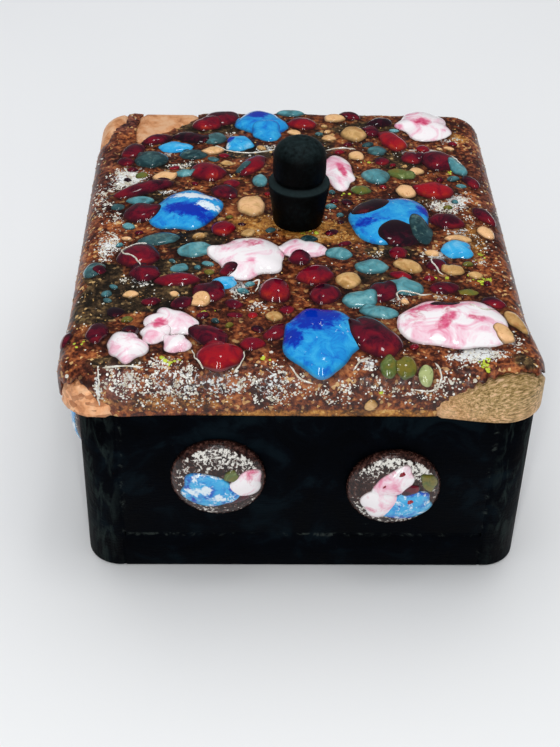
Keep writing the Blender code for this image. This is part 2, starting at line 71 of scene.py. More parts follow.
ahead = Vector((math.sin(TURNED_RIGHT) * math.cos(LOOKS_DOWN),
                math.cos(TURNED_RIGHT) * math.cos(LOOKS_DOWN), -math.sin(LOOKS_DOWN)))
level = Vector((math.cos(TURNED_RIGHT), -math.sin(TURNED_RIGHT), 0.0))
upright = level.cross(ahead)
right = level * math.cos(LEANS) + upright * math.sin(LEANS)
above = upright * math.cos(LEANS) - level * math.sin(LEANS)
lens = bpy.data.cameras.new("camera")
lens.sensor_width = SENSOR
lens.lens = FOCAL_PIXELS * SENSOR / PHOTO_LONG_SIDE
camera = bpy.data.objects.new("camera", lens)
turn = Matrix((right, above, -ahead)).transposed()
camera.matrix_world = Matrix.Translation(CAMERA_PLACE) @ turn.to_4x4()
bpy.context.scene.collection.objects.link(camera)
bpy.context.scene.camera = camera
bpy.context.scene.view_settings.view_transform = "Standard"
print("lens:", round(lens.lens, 1), "mm")

# %% [markdown]
# ## Measures of the lid
# The lid is a shallow copper pan turned upside down, with a glass coat on its outside. It is laid out flat
# first, rim and all, like pastry for a tin, because glass lumps are easiest to place on a flat sheet. Then
# every point is bent round the rolled edge. Each length below is the one that the solid lid was made with.

# %% Lid measures
MM = 0.001
WALL_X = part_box("side_right")[1].x
WALL_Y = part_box("side_right")[1].y
RIM_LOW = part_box("lid_pan")[0].z
LID_OVERHANG = 0.0012
LID_RISE = 0.0112
LID_CORNER = 0.0085
LID_ROLL = 0.0052
LID_CROWN = 0.0015
LID_SLIP = -0.0018
COPPER = 0.001
COAT = 0.0008
COAT_STOP = 0.0004
GAP = 0.0003
NEAR_LEFT_FLARE = 0.0008
NEAR_RIGHT_FLARE = 0.0019
FLARE_REACH = 0.026
LAYOUT_WIDTH = 104.4
LAYOUT_DEPTH = 121.4

LID_HALF_X = WALL_X + LID_OVERHANG
LID_HALF_Y = WALL_Y + LID_OVERHANG
CORE_X = LID_HALF_X - LID_CORNER
CORE_Y = LID_HALF_Y - LID_CORNER
TOP_CORNER = LID_CORNER - LID_ROLL
ROLL_LENGTH = LID_ROLL * math.pi / 2
SKIRT_LENGTH = LID_RISE - LID_ROLL
SHEET_CORNER = TOP_CORNER + ROLL_LENGTH + SKIRT_LENGTH
LAYOUT = np.array((2 * LID_HALF_X / LAYOUT_WIDTH, 2 * LID_HALF_Y / LAYOUT_DEPTH))
print("sheet:", *(round(2 * (core + SHEET_CORNER) / MM, 1) for core in (CORE_X, CORE_Y)), "mm")

# %% [markdown]
# ## Bending the sheet
# `wrap` takes points of the flat sheet and a lift, the height over the coat's outer face, and gives points
# in space. Inside the flat top nothing moves. Past its border, the way outwards is walked round a quarter
# circle and then straight down the rim. Near the two front corners the copper was bent outwards: the flare
# adds that.

# %% Bending the sheet
TINY = 1e-12


def eased(value):
    """A smooth step from 0 to 1."""
    share = np.clip(value, 0.0, 1.0)
    return share * share * (3 - 2 * share)


def flare(s, t):
    """How far the bent copper bows out near the two front corners."""
    run = FLARE_REACH - LID_CORNER
    aside = eased((np.abs(s) - LID_HALF_X + FLARE_REACH) / run)
    near = eased((-t - LID_HALF_Y + FLARE_REACH) / run)
    return aside * near * np.where(s < 0, NEAR_LEFT_FLARE, NEAR_RIGHT_FLARE)


def wrap(s, t, lift, crown=1.0):
    """Bends points of the flat sheet round the lid's edge; crown is the share of the top's slight dome."""
    core_s = np.clip(s, -CORE_X, CORE_X)
    core_t = np.clip(t, -CORE_Y, CORE_Y)
    reach = np.hypot(s - core_s, t - core_t)
    safe = np.maximum(reach, TINY)
    out_s, out_t = (s - core_s) / safe, (t - core_t) / safe
    past = np.maximum(reach - TOP_CORNER, 0.0)
    bend = np.minimum(past / LID_ROLL, math.pi / 2)
    plan = np.minimum(reach, TOP_CORNER) + (LID_ROLL + lift + flare(s, t)) * np.sin(bend)
    height = RIM_LOW + LID_RISE - LID_ROLL * (1 - np.cos(bend)) + lift * np.cos(bend)
    height = height - np.maximum(past - ROLL_LENGTH, 0.0)
    dome = np.clip(1 - (s / LID_HALF_X) ** 2, 0, 1) * np.clip(1 - (t / LID_HALF_Y) ** 2, 0, 1)
    height = height + crown * LID_CROWN * dome
    return np.stack((core_s + out_s * plan + LID_SLIP, core_t + out_t * plan, height), -1)


def ripple(s, t, size, seed=0.0):
    """Smooth noise from -1 to 1 over the sheet, with features of about the given size."""
    return np.array([noise.noise((x / size, y / size, seed)) for x, y in zip(s, t)])


middle_top = wrap(np.zeros(1), np.zeros(1), np.zeros(1))[0]
print("top of the lid:", round(float(middle_top[2]) / MM, 1), "mm up")

# %% [markdown]
# ## The glass lumps
# An enameller scatters broken glass over the coat and fires it until the lumps slump into domes. Each row
# below is one lump: how far across and back its middle lies on the flat sheet, its half length and half
# width, all in millimetres, its turn in degrees, its height and its glass. A lump's outline is an ellipse
# with a few gentle waves, and it lies on whatever lumps come before it.

# %% Glass lumps
LUMPS = (
    # far left
    (-19, 53, 5.5, 4.2, 35, 1.8, "dark red"), (-23, 49, 4.0, 3.4, 0, 1.8, "red"),
    (-8, 50, 7.5, 6.5, -20, 2.4, "blue"), (-6.5, 44, 4.0, 4.5, 0, 1.6, "blue"),
    (-14, 38, 4.2, 4.0, 0, 1.6, "sky"), (-20.5, 41, 3.2, 3.6, 0, 1.2, "grey teal"),
    (-27, 41.5, 5.5, 2.8, -15, 1.4, "maroon"), (-36, 40.5, 4.2, 2.6, 20, 1.6, "dark red"),
    (-42, 34.5, 2.8, 4.6, -25, 1.5, "dark red"), (-43.5, 28.5, 2.4, 2.2, 0, 1.3, "dark red"),
    (-31, 36, 4.4, 3.2, 10, 1.3, "sky"), (-37, 29.5, 4.6, 4.4, 0, 1.6, "dark teal"),
    (-26, 32, 3.8, 2.8, 0, 1.1, "dark teal"), (-21, 34, 3.0, 2.2, 10, 1.1, "peach"),
    (-22, 22.3, 5.2, 4.0, -20, 2.4, "red"), (-28, 22, 2.6, 2.0, 0, 1.0, "teal"),
    (-33, 20.5, 3.4, 2.4, 15, 1.1, "peach"), (-38, 14.5, 8.2, 2.9, 28, 1.8, "dark red"),
    (-27, 3.5, 8.6, 9.6, -20, 2.2, "blue"), (-37.8, 2.8, 4.6, 4.4, 0, 2.2, "dark red"),
    (-38.5, 8.8, 3.8, 1.9, 0, 1.0, "teal"), (-17.5, 12.5, 4.2, 3.0, -50, 1.6, "dark red"),
    (-15.8, 16.5, 2.3, 2.0, 0, 1.1, "red"), (-10.5, 26, 6.2, 2.8, 58, 1.8, "red"),
    (-10.8, 5.6, 3.8, 4.8, 0, 1.3, "peach"), (-8.6, 18, 2.0, 3.4, 0, 1.2, "teal"),
    # far right
    (0, 57.5, 4.2, 2.8, 0, 1.3, "teal"), (3, 50, 4.4, 3.2, 0, 1.8, "red"),
    (12.2, 54, 3.0, 2.6, 0, 1.1, "peach"), (16.5, 55.5, 3.4, 2.2, -30, 1.4, "dark red"),
    (17, 44.5, 3.8, 4.2, 0, 1.5, "gold"), (21.7, 46.5, 2.4, 3.4, 0, 1.4, "dark red"),
    (24.5, 51.5, 3.8, 2.4, 15, 1.5, "maroon"), (27, 40.5, 3.4, 5.8, 25, 2.0, "bright red"),
    (22.6, 35, 2.7, 2.7, 0, 1.1, "grey teal"), (23.4, 29.3, 2.2, 2.2, 0, 1.1, "dark red"),
    (16.9, 32, 2.3, 2.4, 0, 1.0, "peach"), (36.5, 50, 8.0, 8.2, 40, 1.9, "rose"),
    (38.2, 30.3, 5.4, 4.8, -15, 2.3, "dark red"), (31.5, 31.5, 3.2, 3.2, 0, 1.5, "dark red"),
    (32, 24.5, 2.2, 1.9, 0, 0.9, "peach"), (11.6, 23, 4.2, 9.0, 15, 1.6, "rose"),
    (21.3, 21, 4.0, 3.6, 0, 1.6, "teal"), (17, 14, 2.6, 2.4, 0, 1.0, "green"),
    (28, 22.8, 4.0, 2.6, -20, 1.0, "green"), (28.6, 14, 3.0, 3.2, 0, 1.1, "peach"),
    (35.6, 14.5, 5.0, 4.2, 0, 2.2, "bright red"), (45.8, 20, 1.9, 3.6, 30, 1.3, "dark red"),
    (47, 3.5, 2.2, 4.4, 30, 1.5, "dark red"), (23, 0, 10.0, 11.0, -30, 2.3, "blue"),
    (18.5, 4.2, 5.4, 3.4, 30, 1.2, "maroon"), (25, -7.8, 5.2, 4.6, 20, 1.3, "maroon"),
    (30.5, -5, 3.0, 5.5, 10, 0.8, "dark teal"), (24, -15, 2.4, 2.3, 0, 1.8, "red"),
    (43.2, 27, 2.4, 3.8, 20, 1.0, "teal"),
    # near left
    (-37.3, -16.5, 4.8, 5.4, -25, 2.3, "dark red"), (-35.5, -23.5, 3.6, 3.6, 0, 1.7, "dark red"),
    (-27.8, -26.4, 5.8, 2.4, 5, 1.6, "red"), (-24, -14, 4.6, 3.4, 10, 1.1, "teal"),
    (-33, -9.3, 5.2, 2.8, 10, 1.1, "grey teal"), (-11.5, -17.5, 8.0, 9.4, 30, 2.1, "rose"),
    (-17.6, -5, 3.1, 3.2, 0, 1.8, "red"), (-16.2, -23, 2.3, 2.0, 20, 1.2, "dark red"),
    (-17, -27.8, 2.9, 2.7, 0, 1.2, "sky"), (-20.5, -31.3, 4.4, 3.4, -30, 1.6, "dark red"),
    (-22.5, -34.6, 2.6, 2.2, 0, 1.0, "peach"), (-26.5, -35.3, 2.8, 2.2, 20, 1.3, "dark red"),
    (-5.4, -31, 3.8, 4.6, -10, 2.6, "red"), (-14.8, -36, 2.2, 1.7, -30, 1.2, "dark red"),
    (-2.8, -38, 1.9, 1.5, 0, 1.0, "red"), (-28.5, -42.5, 6.2, 4.6, -35, 1.8, "rose"),
    (-32, -47, 3.6, 3.0, -30, 1.7, "rose"), (-27, -50.3, 2.8, 3.6, 0, 1.6, "rose"),
    (-37.8, -51.3, 4.6, 4.8, 0, 2.4, "rose"), (-37.4, -46, 2.3, 1.6, 0, 1.8, "maroon"),
    (-44.6, -46.2, 2.5, 3.8, -15, 1.8, "dark red"), (-52, -46, 1.9, 2.8, 0, 0.9, "dark red"),
    (-20, -47.5, 5.2, 3.2, -38, 1.9, "dark red"), (-17.6, -54.3, 5.2, 4.4, 0, 2.4, "bright red"),
    (-10.6, -50.2, 2.8, 2.3, 10, 1.4, "red"), (-5.2, -46, 3.6, 2.4, 45, 1.5, "dark red"),
    (-47.5, -21.5, 2.6, 3.4, -30, 0.9, "grey teal"),
    # near right
    (4.6, -48.3, 8.4, 11.6, 10, 2.6, "blue"), (16.2, -47.5, 4.9, 8.2, 28, 2.2, "dark red"),
    (1.2, -14, 5.3, 4.4, -15, 1.7, "rose"), (0.6, -18.2, 2.9, 2.2, 0, 1.6, "dark red"),
    (10, -15.5, 3.2, 2.8, 0, 1.0, "teal"), (4, -24.6, 4.6, 3.8, 15, 1.9, "red"),
    (11.6, -26.4, 3.1, 3.4, 0, 1.1, "gold"), (6, -32, 3.8, 4.0, 0, 2.0, "dark red"),
    (17.4, -20.8, 4.2, 3.0, 0, 1.2, "teal"), (24, -24, 2.7, 1.7, -20, 1.0, "red"),
    (26, -20, 3.6, 2.8, -30, 1.0, "gold"), (24.6, -28.6, 5.0, 3.0, -20, 1.2, "teal"),
    (18.8, -31, 3.6, 4.4, -30, 1.8, "dark red"), (13.8, -34, 4.0, 3.6, 0, 1.2, "teal"),
    (18, -38.5, 4.6, 2.4, -15, 1.1, "teal"), (33.6, -28.6, 4.0, 2.3, 10, 1.4, "dark red"),
    (34.5, -42.5, 11.4, 10.4, -20, 2.2, "rose"), (44.3, -33.8, 3.2, 2.2, -35, 1.2, "dark red"),
    (45, -46, 2.4, 3.2, 20, 1.2, "peach"), (48.3, -40.5, 1.9, 4.0, 20, 1.1, "gold"),
    (38.4, -12.6, 4.2, 4.0, 0, 1.7, "sky"), (39.3, -7.8, 3.4, 1.9, 0, 1.0, "peach"),
    (32.8, -19.2, 2.7, 2.5, 0, 1.3, "dark red"), (36.6, -21.2, 2.7, 2.4, 0, 1.0, "gold"),
    (37.4, 0, 4.3, 3.6, -10, 2.0, "dark red"), (46.5, -4.2, 2.1, 3.0, 20, 1.0, "peach"),
    (18.8, -57, 2.2, 2.8, 0, 1.2, "green"), (22.5, -57, 2.3, 3.2, 0, 1.2, "olive"),
    (26.6, -59, 1.9, 2.4, 0, 0.9, "pale green"),
    # small ones that only the fine glass has
    (-18, 31.5, 1.6, 1.3, 0, 0.7, "red"), (12.5, 34, 1.6, 1.2, 20, 0.7, "red"),
    (-46, -22, 1.6, 1.6, 0, 0.8, "dark red"), (-14.5, -40, 2.0, 1.1, 0, 0.7, "dark red"),
    (-10.5, -40, 1.3, 1.2, 0, 0.7, "bright red"), (-44, 6, 1.8, 1.6, 0, 0.8, "grey teal"),
    (-13, 24, 2.4, 1.5, 50, 0.7, "grey teal"), (39, -30, 2.4, 1.6, 0, 0.6, "olive"),
    (15, -66, 1.5, 1.7, 0, 0.8, "gold"), (33, -36, 3.4, 1.4, 12, 0.35, "maroon"),
)
print("lumps laid out:", len(LUMPS))

# %% [markdown]
# ## The shape of a lump
# The fifteen glasses belong to six families that melt alike: ruby stays round, while opal blue and rose run
# out into wavy, flat-topped pools. A lump is kept as a formula for its outline and its dome, not as a mesh,
# because the same formula also tells the coat, the grains and the threads where the lump lies.

# %% The shape of a lump
# Glass, and its shade along its family's colours from 0, the darkest, to 1
GLASSES = {
    "maroon": ("ruby", 0.0), "dark red": ("ruby", 0.33), "red": ("ruby", 0.6), "bright red": ("ruby", 0.9),
    "blue": ("blue", 0.66), "sky": ("blue", 0.42), "rose": ("rose", 0.5),
    "dark teal": ("teal", 0.1), "grey teal": ("teal", 0.4), "teal": ("teal", 0.75),
    "peach": ("peach", 0.8), "gold": ("peach", 0.35),
    "green": ("green", 0.3), "olive": ("green", 0.05), "pale green": ("green", 0.9),
}
FAMILIES = ("ruby", "blue", "rose", "teal", "peach", "green")
# How wavy each family's outlines are, and how flat-topped its lumps
WAVINESS = {"ruby": 0.09, "blue": 0.13, "rose": 0.20, "teal": 0.09, "peach": 0.10, "green": 0.10}
FLATNESS = {"ruby": 2.3, "blue": 2.8, "rose": 2.6, "teal": 3.0, "peach": 3.2, "green": 2.6}
WAVES = (2, 3, 4, 5, 7)
WAVE_SHARES = (0.3, 1.0)
WAVE_FALL = 1.6
SHOULDER = 0.7
SETTLE = 0.55
# How far from its middle a lump is looked for, in half lengths
LUMP_REACH = 1.4


class Lump:
    """A blob of glass on the flat sheet."""

    def __init__(self, index, row):
        across, back, length, width, turn, height, glass = row
        self.s, self.t = np.array((across, back)) * LAYOUT
        self.length, self.width, self.height = length * MM, width * MM, height * MM
        self.cos, self.sin = math.cos(math.radians(turn)), math.sin(math.radians(turn))
        self.family, self.shade = GLASSES[glass]
        draw = np.random.default_rng(index)
        wavy = WAVINESS[self.family]
        self.waves = []
        for count in WAVES:
            size = wavy * draw.uniform(*WAVE_SHARES) * WAVE_FALL / count
            self.waves.append((count, size, draw.uniform(0, math.tau)))

    def edge(self, angle):
        """How far the wavy outline runs out at an angle, as a share of the ellipse."""
        return 1 + sum(size * np.cos(count * angle + phase) for count, size, phase in self.waves)

    def out(self, s, t):
        """How far out points of the sheet lie: 0 in the middle, 1 on the outline."""
        x = ((s - self.s) * self.cos + (t - self.t) * self.sin) / self.length
        y = ((t - self.t) * self.cos - (s - self.s) * self.sin) / self.width
        return np.hypot(x, y) / self.edge(np.arctan2(y, x))

    def point(self, angle, share):
        """Points of the sheet at a share of the way out, at an angle."""
        x = self.length * np.cos(angle) * share * self.edge(angle)
        y = self.width * np.sin(angle) * share * self.edge(angle)
        return self.s + x * self.cos - y * self.sin, self.t + x * self.sin + y * self.cos

    def dome(self, out):
        """The glass's own height at a share of the way out."""
        return self.height * np.clip(1 - out ** FLATNESS[self.family], 0, 1) ** SHOULDER

    def sagged(self, own, below):
        """The height left to the glass where it lies on other lumps, since it sags over them."""
        return own * (1 - SETTLE * np.minimum(below / self.height, 1))


lumps = [Lump(index, row) for index, row in enumerate(LUMPS)]
print("kinds of glass:", len(GLASSES), "in", len(FAMILIES), "families")

# %% [markdown]
# ## Small lumps
# Between the big lumps lie small ones that nobody would lay out by hand. A particle system could scatter
# them, but a seeded draw with a few rules is easier to steer. A small lump keeps off the big ones, the other
# small ones, the bare corner at the far left and the knob's foot.

# %% Small lumps
FILLER_GLASSES = ("dark red", "maroon", "teal", "grey teal", "dark teal", "gold", "peach", "olive", "red")
FILLER_TRIES = 1400
FILLER_SEED = 5
FILLER_NUMBER = 1000
FILLER_CLEAR = 0.0007
# Ranges to draw from, in layout millimetres, degrees and shares of the length
FILLER_ACROSS = (-44, 44)
FILLER_BACK = (-52, 54)
FILLER_LENGTH = (0.9, 2.3)
FILLER_WIDTH = (0.55, 0.9)
FILLER_TURN = (-40, 40)
FILLER_HEIGHT = (0.45, 0.9)
KNOB_CLEAR = 8
CHIPPED_ACROSS = -23
CHIPPED_BACK = 38


def strewn_rows(draw):
    """Rows of small lumps for the gaps between the big ones, where the glass lies thick."""
    rows = []
    kept = [(lump.s / LAYOUT[0], lump.t / LAYOUT[1], max(lump.length, lump.width) / MM) for lump in lumps]
    for _ in range(FILLER_TRIES):
        across, back = draw.uniform(*FILLER_ACROSS), draw.uniform(*FILLER_BACK)
        length = draw.uniform(*FILLER_LENGTH)
        width = length * draw.uniform(*FILLER_WIDTH)
        spot = np.array((across, back)) * LAYOUT
        clear = all(lump.out(*spot) > 1 + (0.5 * length * MM + FILLER_CLEAR) / min(lump.length, lump.width)
                    for lump in lumps)
        apart = all(math.hypot(across - x, back - y) > length + size for x, y, size in kept[len(lumps):])
        chipped = across < CHIPPED_ACROSS and back > CHIPPED_BACK
        if clear and apart and not chipped and math.hypot(across, back) > KNOB_CLEAR:
            glass = FILLER_GLASSES[draw.integers(len(FILLER_GLASSES))]
            turn, height = draw.uniform(*FILLER_TURN), draw.uniform(*FILLER_HEIGHT)
            rows.append((across, back, length, width, turn, height, glass))
            kept.append((across, back, length))
    return rows


fillers = strewn_rows(np.random.default_rng(FILLER_SEED))
strewn = [Lump(number, row) for number, row in enumerate(fillers, FILLER_NUMBER)]


def pile(s, t, below):
    """The height of the first few lumps, each lying on the ones before it."""
    lift = np.zeros_like(s)
    for lump in lumps[:below]:
        near = np.hypot(s - lump.s, t - lump.t) < LUMP_REACH * max(lump.length, lump.width)
        if near.any():
            lift[near] += lump.sagged(lump.dome(lump.out(s[near], t[near])), lift[near])
    return lift


print("lumps:", len(lumps), "and small ones:", len(strewn))

# %% [markdown]
# ## Dabs of colour and grain
# Much of the lid is told by areas: where white grains were strewn, where the coat burnt darker, where the
# blue glass holds a deeper stain. Such areas are given as soft ellipses, dabbed on: across, back,
# half length, half width, turn and strength. They become numbers on the mesh, from 0 to 1, and the
# materials break their edges up with noise, which looks like melted glass.

# %% Dabs
DAB_EDGE = 1.25


def dabbed(s, t, dabs):
    """The strongest of several soft ellipses at points of the sheet, from 0 to 1."""
    field = np.zeros_like(s)
    for across, back, length, width, turn, strength in dabs:
        ds, dt = s - across * LAYOUT[0], t - back * LAYOUT[1]
        cos, sin = math.cos(math.radians(turn)), math.sin(math.radians(turn))
        out = np.hypot((ds * cos + dt * sin) / (length * MM), (dt * cos - ds * sin) / (width * MM))
        field = np.maximum(field, strength * eased(DAB_EDGE - out))
    return field


WHITE_GRAINS = (
    (-26, -61, 12, 6.5, 0, 0.75), (-6, -61, 7.5, 6, 20, 0.75), (-45, -12, 4, 8, 10, 0.9),
    (-42, 20, 6.5, 9, -15, 1.0), (-36.5, -26.5, 5, 3, -15, 0.8), (14.5, -56, 3.2, 3, 0, 0.9),
    (38, -53.0, 10, 3.6, 12, 1.0),
    (46, -47, 2.5, 5, 20, 0.9), (41, 10, 5, 7, -15, 0.9), (40, -5, 4, 6, 0, 0.8),
    (33.5, -15.5, 4.5, 3.5, 20, 1.0), (37, 7.5, 5.5, 4.5, -25, 0.9), (-5, 36, 5.5, 2.2, 10, 0.8),
    (30, 34.5, 3.6, 2.5, 0, 0.8), (-17.5, 42.5, 3.4, 3.5, 40, 0.8), (-33, 32.5, 3.2, 1.8, 30, 0.9),
    (-31.5, 12.8, 5.5, 1.8, -10, 0.8), (-17, -61, 10, 4, 0, 0.8), (43, -17, 3.4, 2.2, 0, 0.7),
    (-14, -29.5, 3.8, 4.2, 0, 0.9), (8, -62.5, 10, 4, 0, 0.5),
    (-37, -60, 6, 5, 0, 0.7), (-47, 12, 4, 14, 0, 0.6), (44, -2, 5, 12, 0, 0.5), (20, -51, 4, 3, 0, 0.5),
    (-9.5, -36.5, 4.5, 3.0, 10, 0.6), (-43.3, -62, 1.1, 5, 8, 1.0), (22, -33.5, 2.8, 2.2, 0, 0.9),
    (34, -32, 3.5, 1.5, 0, 0.7), (-30, -56, 4, 3, 30, 0.8), (41, 43, 6, 3.5, -20, 0.8),
    (19.5, -15.5, 3.5, 2, 0, 0.6), (-28, 26.5, 6, 2.2, 20, 0.7), (-43, 0, 3, 5, 0, 0.6),
    (25, -61, 13, 5, 0, 0.5),
)
LIME_GRAINS = (
    (-6, -55, 2.6, 1.4, 0, 1.0), (43, -24, 4.5, 3.0, -30, 0.9), (43, -15, 3.0, 3.6, 0, 0.8),
    (32, -25, 3.0, 2.2, 0, 0.9), (2, -6, 4.5, 1.8, 0, 0.8), (40, -56, 2.2, 1.8, 0, 1.0),
    (41, 25, 3.5, 1.6, 10, 0.9),
    (-28, -55.5, 2.8, 1.8, 0, 0.6), (19, -62, 4, 2, 0, 0.3), (-3, -43, 3, 3.5, 0, 0.4),
    (20, 29, 3.5, 2, 0, 0.5), (-31, 9, 3, 1.5, 0, 0.3), (-48, -50, 1.6, 2.5, 0, 0.6),
    (12.5, 13, 2.5, 2.5, 0, 0.6), (-18, -38, 4, 2.5, 0, 0.3),
)
GOLD_AREAS = (
    (8, -6, 16, 7, 0, 0.9), (-10, -3, 10, 7, 0, 0.8), (20, -69, 60, 2.4, 0, 0.8), (-14, 19, 9, 7, 0, 0.4),
    (42, -8, 6, 12, 0, 0.7), (45, 44, 5, 4, -30, 0.7), (-35, -31, 8, 2, 0, 0.7), (-30, -66, 30, 4, 0, 0.5),
)
DARK_AREAS = (
    (-36, -31, 18, 10, -5, 1.0), (-46, -36, 8, 10, 0, 1.0), (-30, -21, 12, 5, 0, 1.0),
    (-45, -24, 7, 8, 0, 0.9), (10, -12, 12, 5, 0, 0.4),
    (-22, 48, 14, 7, 0, 0.8), (20, 48, 14, 7, 0, 0.8), (-35, 10, 8, 8, 0, 0.7), (22, -14, 12, 6, 0, 0.7),
    (-24, -10, 11, 7, 0, 0.9), (-40, -56, 9, 3, 0, 0.8), (30, 10, 10, 8, 0, 0.6), (18, -27, 14, 8, 0, 0.6),
    (-12, 34, 14, 6, 0, 0.8), (8, 40, 6, 12, 0, 0.7), (48, -54, 4, 4, 30, 0.6), (-15, -24, 8, 6, 0, 0.4),
    (-28, 26, 12, 3, 0, 0.8), (28, 30, 10, 8, 0, 0.8),
)
MAROON_AREAS = (
    (-39, -61, 4, 6, 0, 0.9), (-46, 52, 5, 8, 0, 0.8), (-50, 20, 6, 30, 0, 0.5), (50, 20, 5, 40, 0, 0.4),
)
DEEP_STAINS = (
    (3.0, -41.0, 8.5, 4.6, -15, 1.0), (-2.0, -49, 2.8, 5.0, 20, 0.9), (2.5, -45.0, 6.5, 3.6, -10, 0.85),
    (-26.5, 1.5, 7.0, 3.4, -10, 1.0), (-20.5, -1.5, 4.5, 2.8, 0, 0.8), (-9, 52, 3.6, 3.0, 0, 1.0),
    (-16.5, 39, 1.6, 2.0, 0, 0.8),
    (20, 10, 7.5, 1.8, -15, 0.8), (32, 3.5, 2.8, 3.0, 0, 0.8), (17, -3.5, 4.5, 2.2, 10, 0.7),
    (36, 50, 3.6, 3.4, -20, 0.9), (-10.5, -13.5, 3.2, 3.2, 0, 0.7), (12.5, 22, 1.6, 6, 10, 0.9),
    (30, -37.5, 9.5, 2.6, 8, 0.95), (32.5, -43, 2.2, 5.5, -25, 0.9), (26, -41, 3.5, 4.0, 0, 0.6),
    (39, -42, 3.5, 1.6, -10, 0.7), (-31, -44.5, 2.6, 2.6, -30, 0.9), (-38, -51, 2.5, 2.5, 0, 0.3),
    (-16, -12, 1.5, 5, 50, 0.5), (24, -38, 3, 1.5, 10, 0.6),
)
MILKY_AREAS = (
    (-25, 8, 7.5, 2.0, -5, 1.0), (-21.5, 3.5, 4.0, 2.0, -20, 0.9), (10, -47, 3.0, 4.0, 0, 0.25),
    (-18, 36.5, 1.6, 3.0, 20, 1.0), (31, -3, 2, 2, 0, 0.5), (13.5, -8, 2.5, 1.4, 0, 0.8),
)
AREAS = (WHITE_GRAINS, LIME_GRAINS, GOLD_AREAS, DARK_AREAS, MAROON_AREAS, DEEP_STAINS, MILKY_AREAS)
print("areas:", sum(map(len, AREAS)))

# %% [markdown]
# ## Shells of the lid
# Both the copper pan and the coat are shells on the same sheet. A grid is made flat, its square corners are
# eased into round ones, and it is given a thickness. Where the coat has chipped away, the grid's nearest
# points are pulled onto the chip's edge and what lies inside the chip is cut out.

# %% Shells
CHIPS = (
    ((-41, 39), (-38, 42), (-35, 45), (-29, 50), (-25.5, 54), (-25, 60), (-26, 80), (-40, 80), (-41, 58),
     (-42, 50), (-42, 44)),
    ((-49.5, 41), (-48, 47), (-45, 52), (-44.5, 56), (-46, 80), (-80, 80), (-80, 50), (-60, 45), (-53, 41)),
    ((-40.5, -80), (-41, -66.5), (-44, -64.5), (-46, -61.5), (-48, -59), (-51, -59.5), (-55, -57),
     (-80, -52), (-80, -80)),
    ((28.5, -80), (29.5, -67), (32, -63.5), (36, -61), (41, -58.5), (47, -57), (51, -56), (55, -52),
     (59, -44), (80, -42), (80, -80)),
)
CHIP_RAGGED = 0.0009
CHIP_TEETH = 0.0012
CHIP_SEED = 7.0
# In shares of a grid's pitch, how near to a chip's edge points are pulled onto it
SNAP_REACH = 0.35
SLOPE_STEPS = 20
LEAST_SLOPE = 0.3
INNER, OUTER = -1.0, 0.0


def chip_distance(s, t):
    """How far points of the sheet lie outside the nearest chip; below 0 inside it."""
    nearest = np.full_like(s, 1.0)
    for chip in CHIPS:
        corners = np.array(chip) * LAYOUT
        odd = np.zeros(len(s), bool)
        away = np.full_like(s, 1.0)
        for a, b in zip(corners, np.roll(corners, -1, 0)):
            run = b - a
            share = np.clip(((s - a[0]) * run[0] + (t - a[1]) * run[1]) / (run @ run), 0, 1)
            away = np.minimum(away, np.hypot(s - a[0] - share * run[0], t - a[1] - share * run[1]))
            spans = (a[1] > t) != (b[1] > t)
            odd ^= spans & (a[0] + (t - a[1]) * run[0] / (run[1] or TINY) > s)
        nearest = np.minimum(nearest, np.where(odd, -away, away))
    return nearest + CHIP_RAGGED * ripple(s, t, CHIP_TEETH, CHIP_SEED)


def round_corners(s, t, corner):
    """Moves a square grid's corner points so that its border becomes a rounded one."""
    u = np.maximum(np.abs(s) - CORE_X, 0)
    v = np.maximum(np.abs(t) - CORE_Y, 0)
    both = (u > 0) & (v > 0)
    reach = np.maximum(u, v)
    safe = np.maximum(reach, TINY)
    turn = np.where(u >= v, math.pi / 4 * v / safe, math.pi / 2 - math.pi / 4 * u / safe)
    new_s = np.where(both, np.sign(s) * (CORE_X + reach * np.cos(turn)), s)
    new_t = np.where(both, np.sign(t) * (CORE_Y + reach * np.sin(turn)), t)
    return new_s, new_t


def cut_out(bm, away):
    """Cuts a grid where the points' distance passes 0, and drops the side below 0."""
    height = dict(zip(bm.verts, away))
    for edge in bm.edges[:]:
        first, second = edge.verts
        if height[first] * height[second] < 0:
            share = height[first] / (height[first] - height[second])
            height[bmesh.utils.edge_split(edge, first, share)[1]] = 0.0
    for face in bm.faces[:]:
        values = [height[vert] for vert in face.verts]
        if min(values) < 0 < max(values):
            rim = [vert for vert in face.verts if height[vert] == 0]
            apart = [pair for pair in itertools.combinations(rim, 2) if bm.edges.get(pair) is None]
            if apart:
                bmesh.utils.face_split(face, *apart[0])
    lost = [face for face in bm.faces if sum(height[vert] for vert in face.verts) <= 0]
    bmesh.ops.delete(bm, geom=lost, context="FACES")
    bmesh.ops.delete(bm, geom=[vert for vert in bm.verts if not vert.link_faces], context="VERTS")


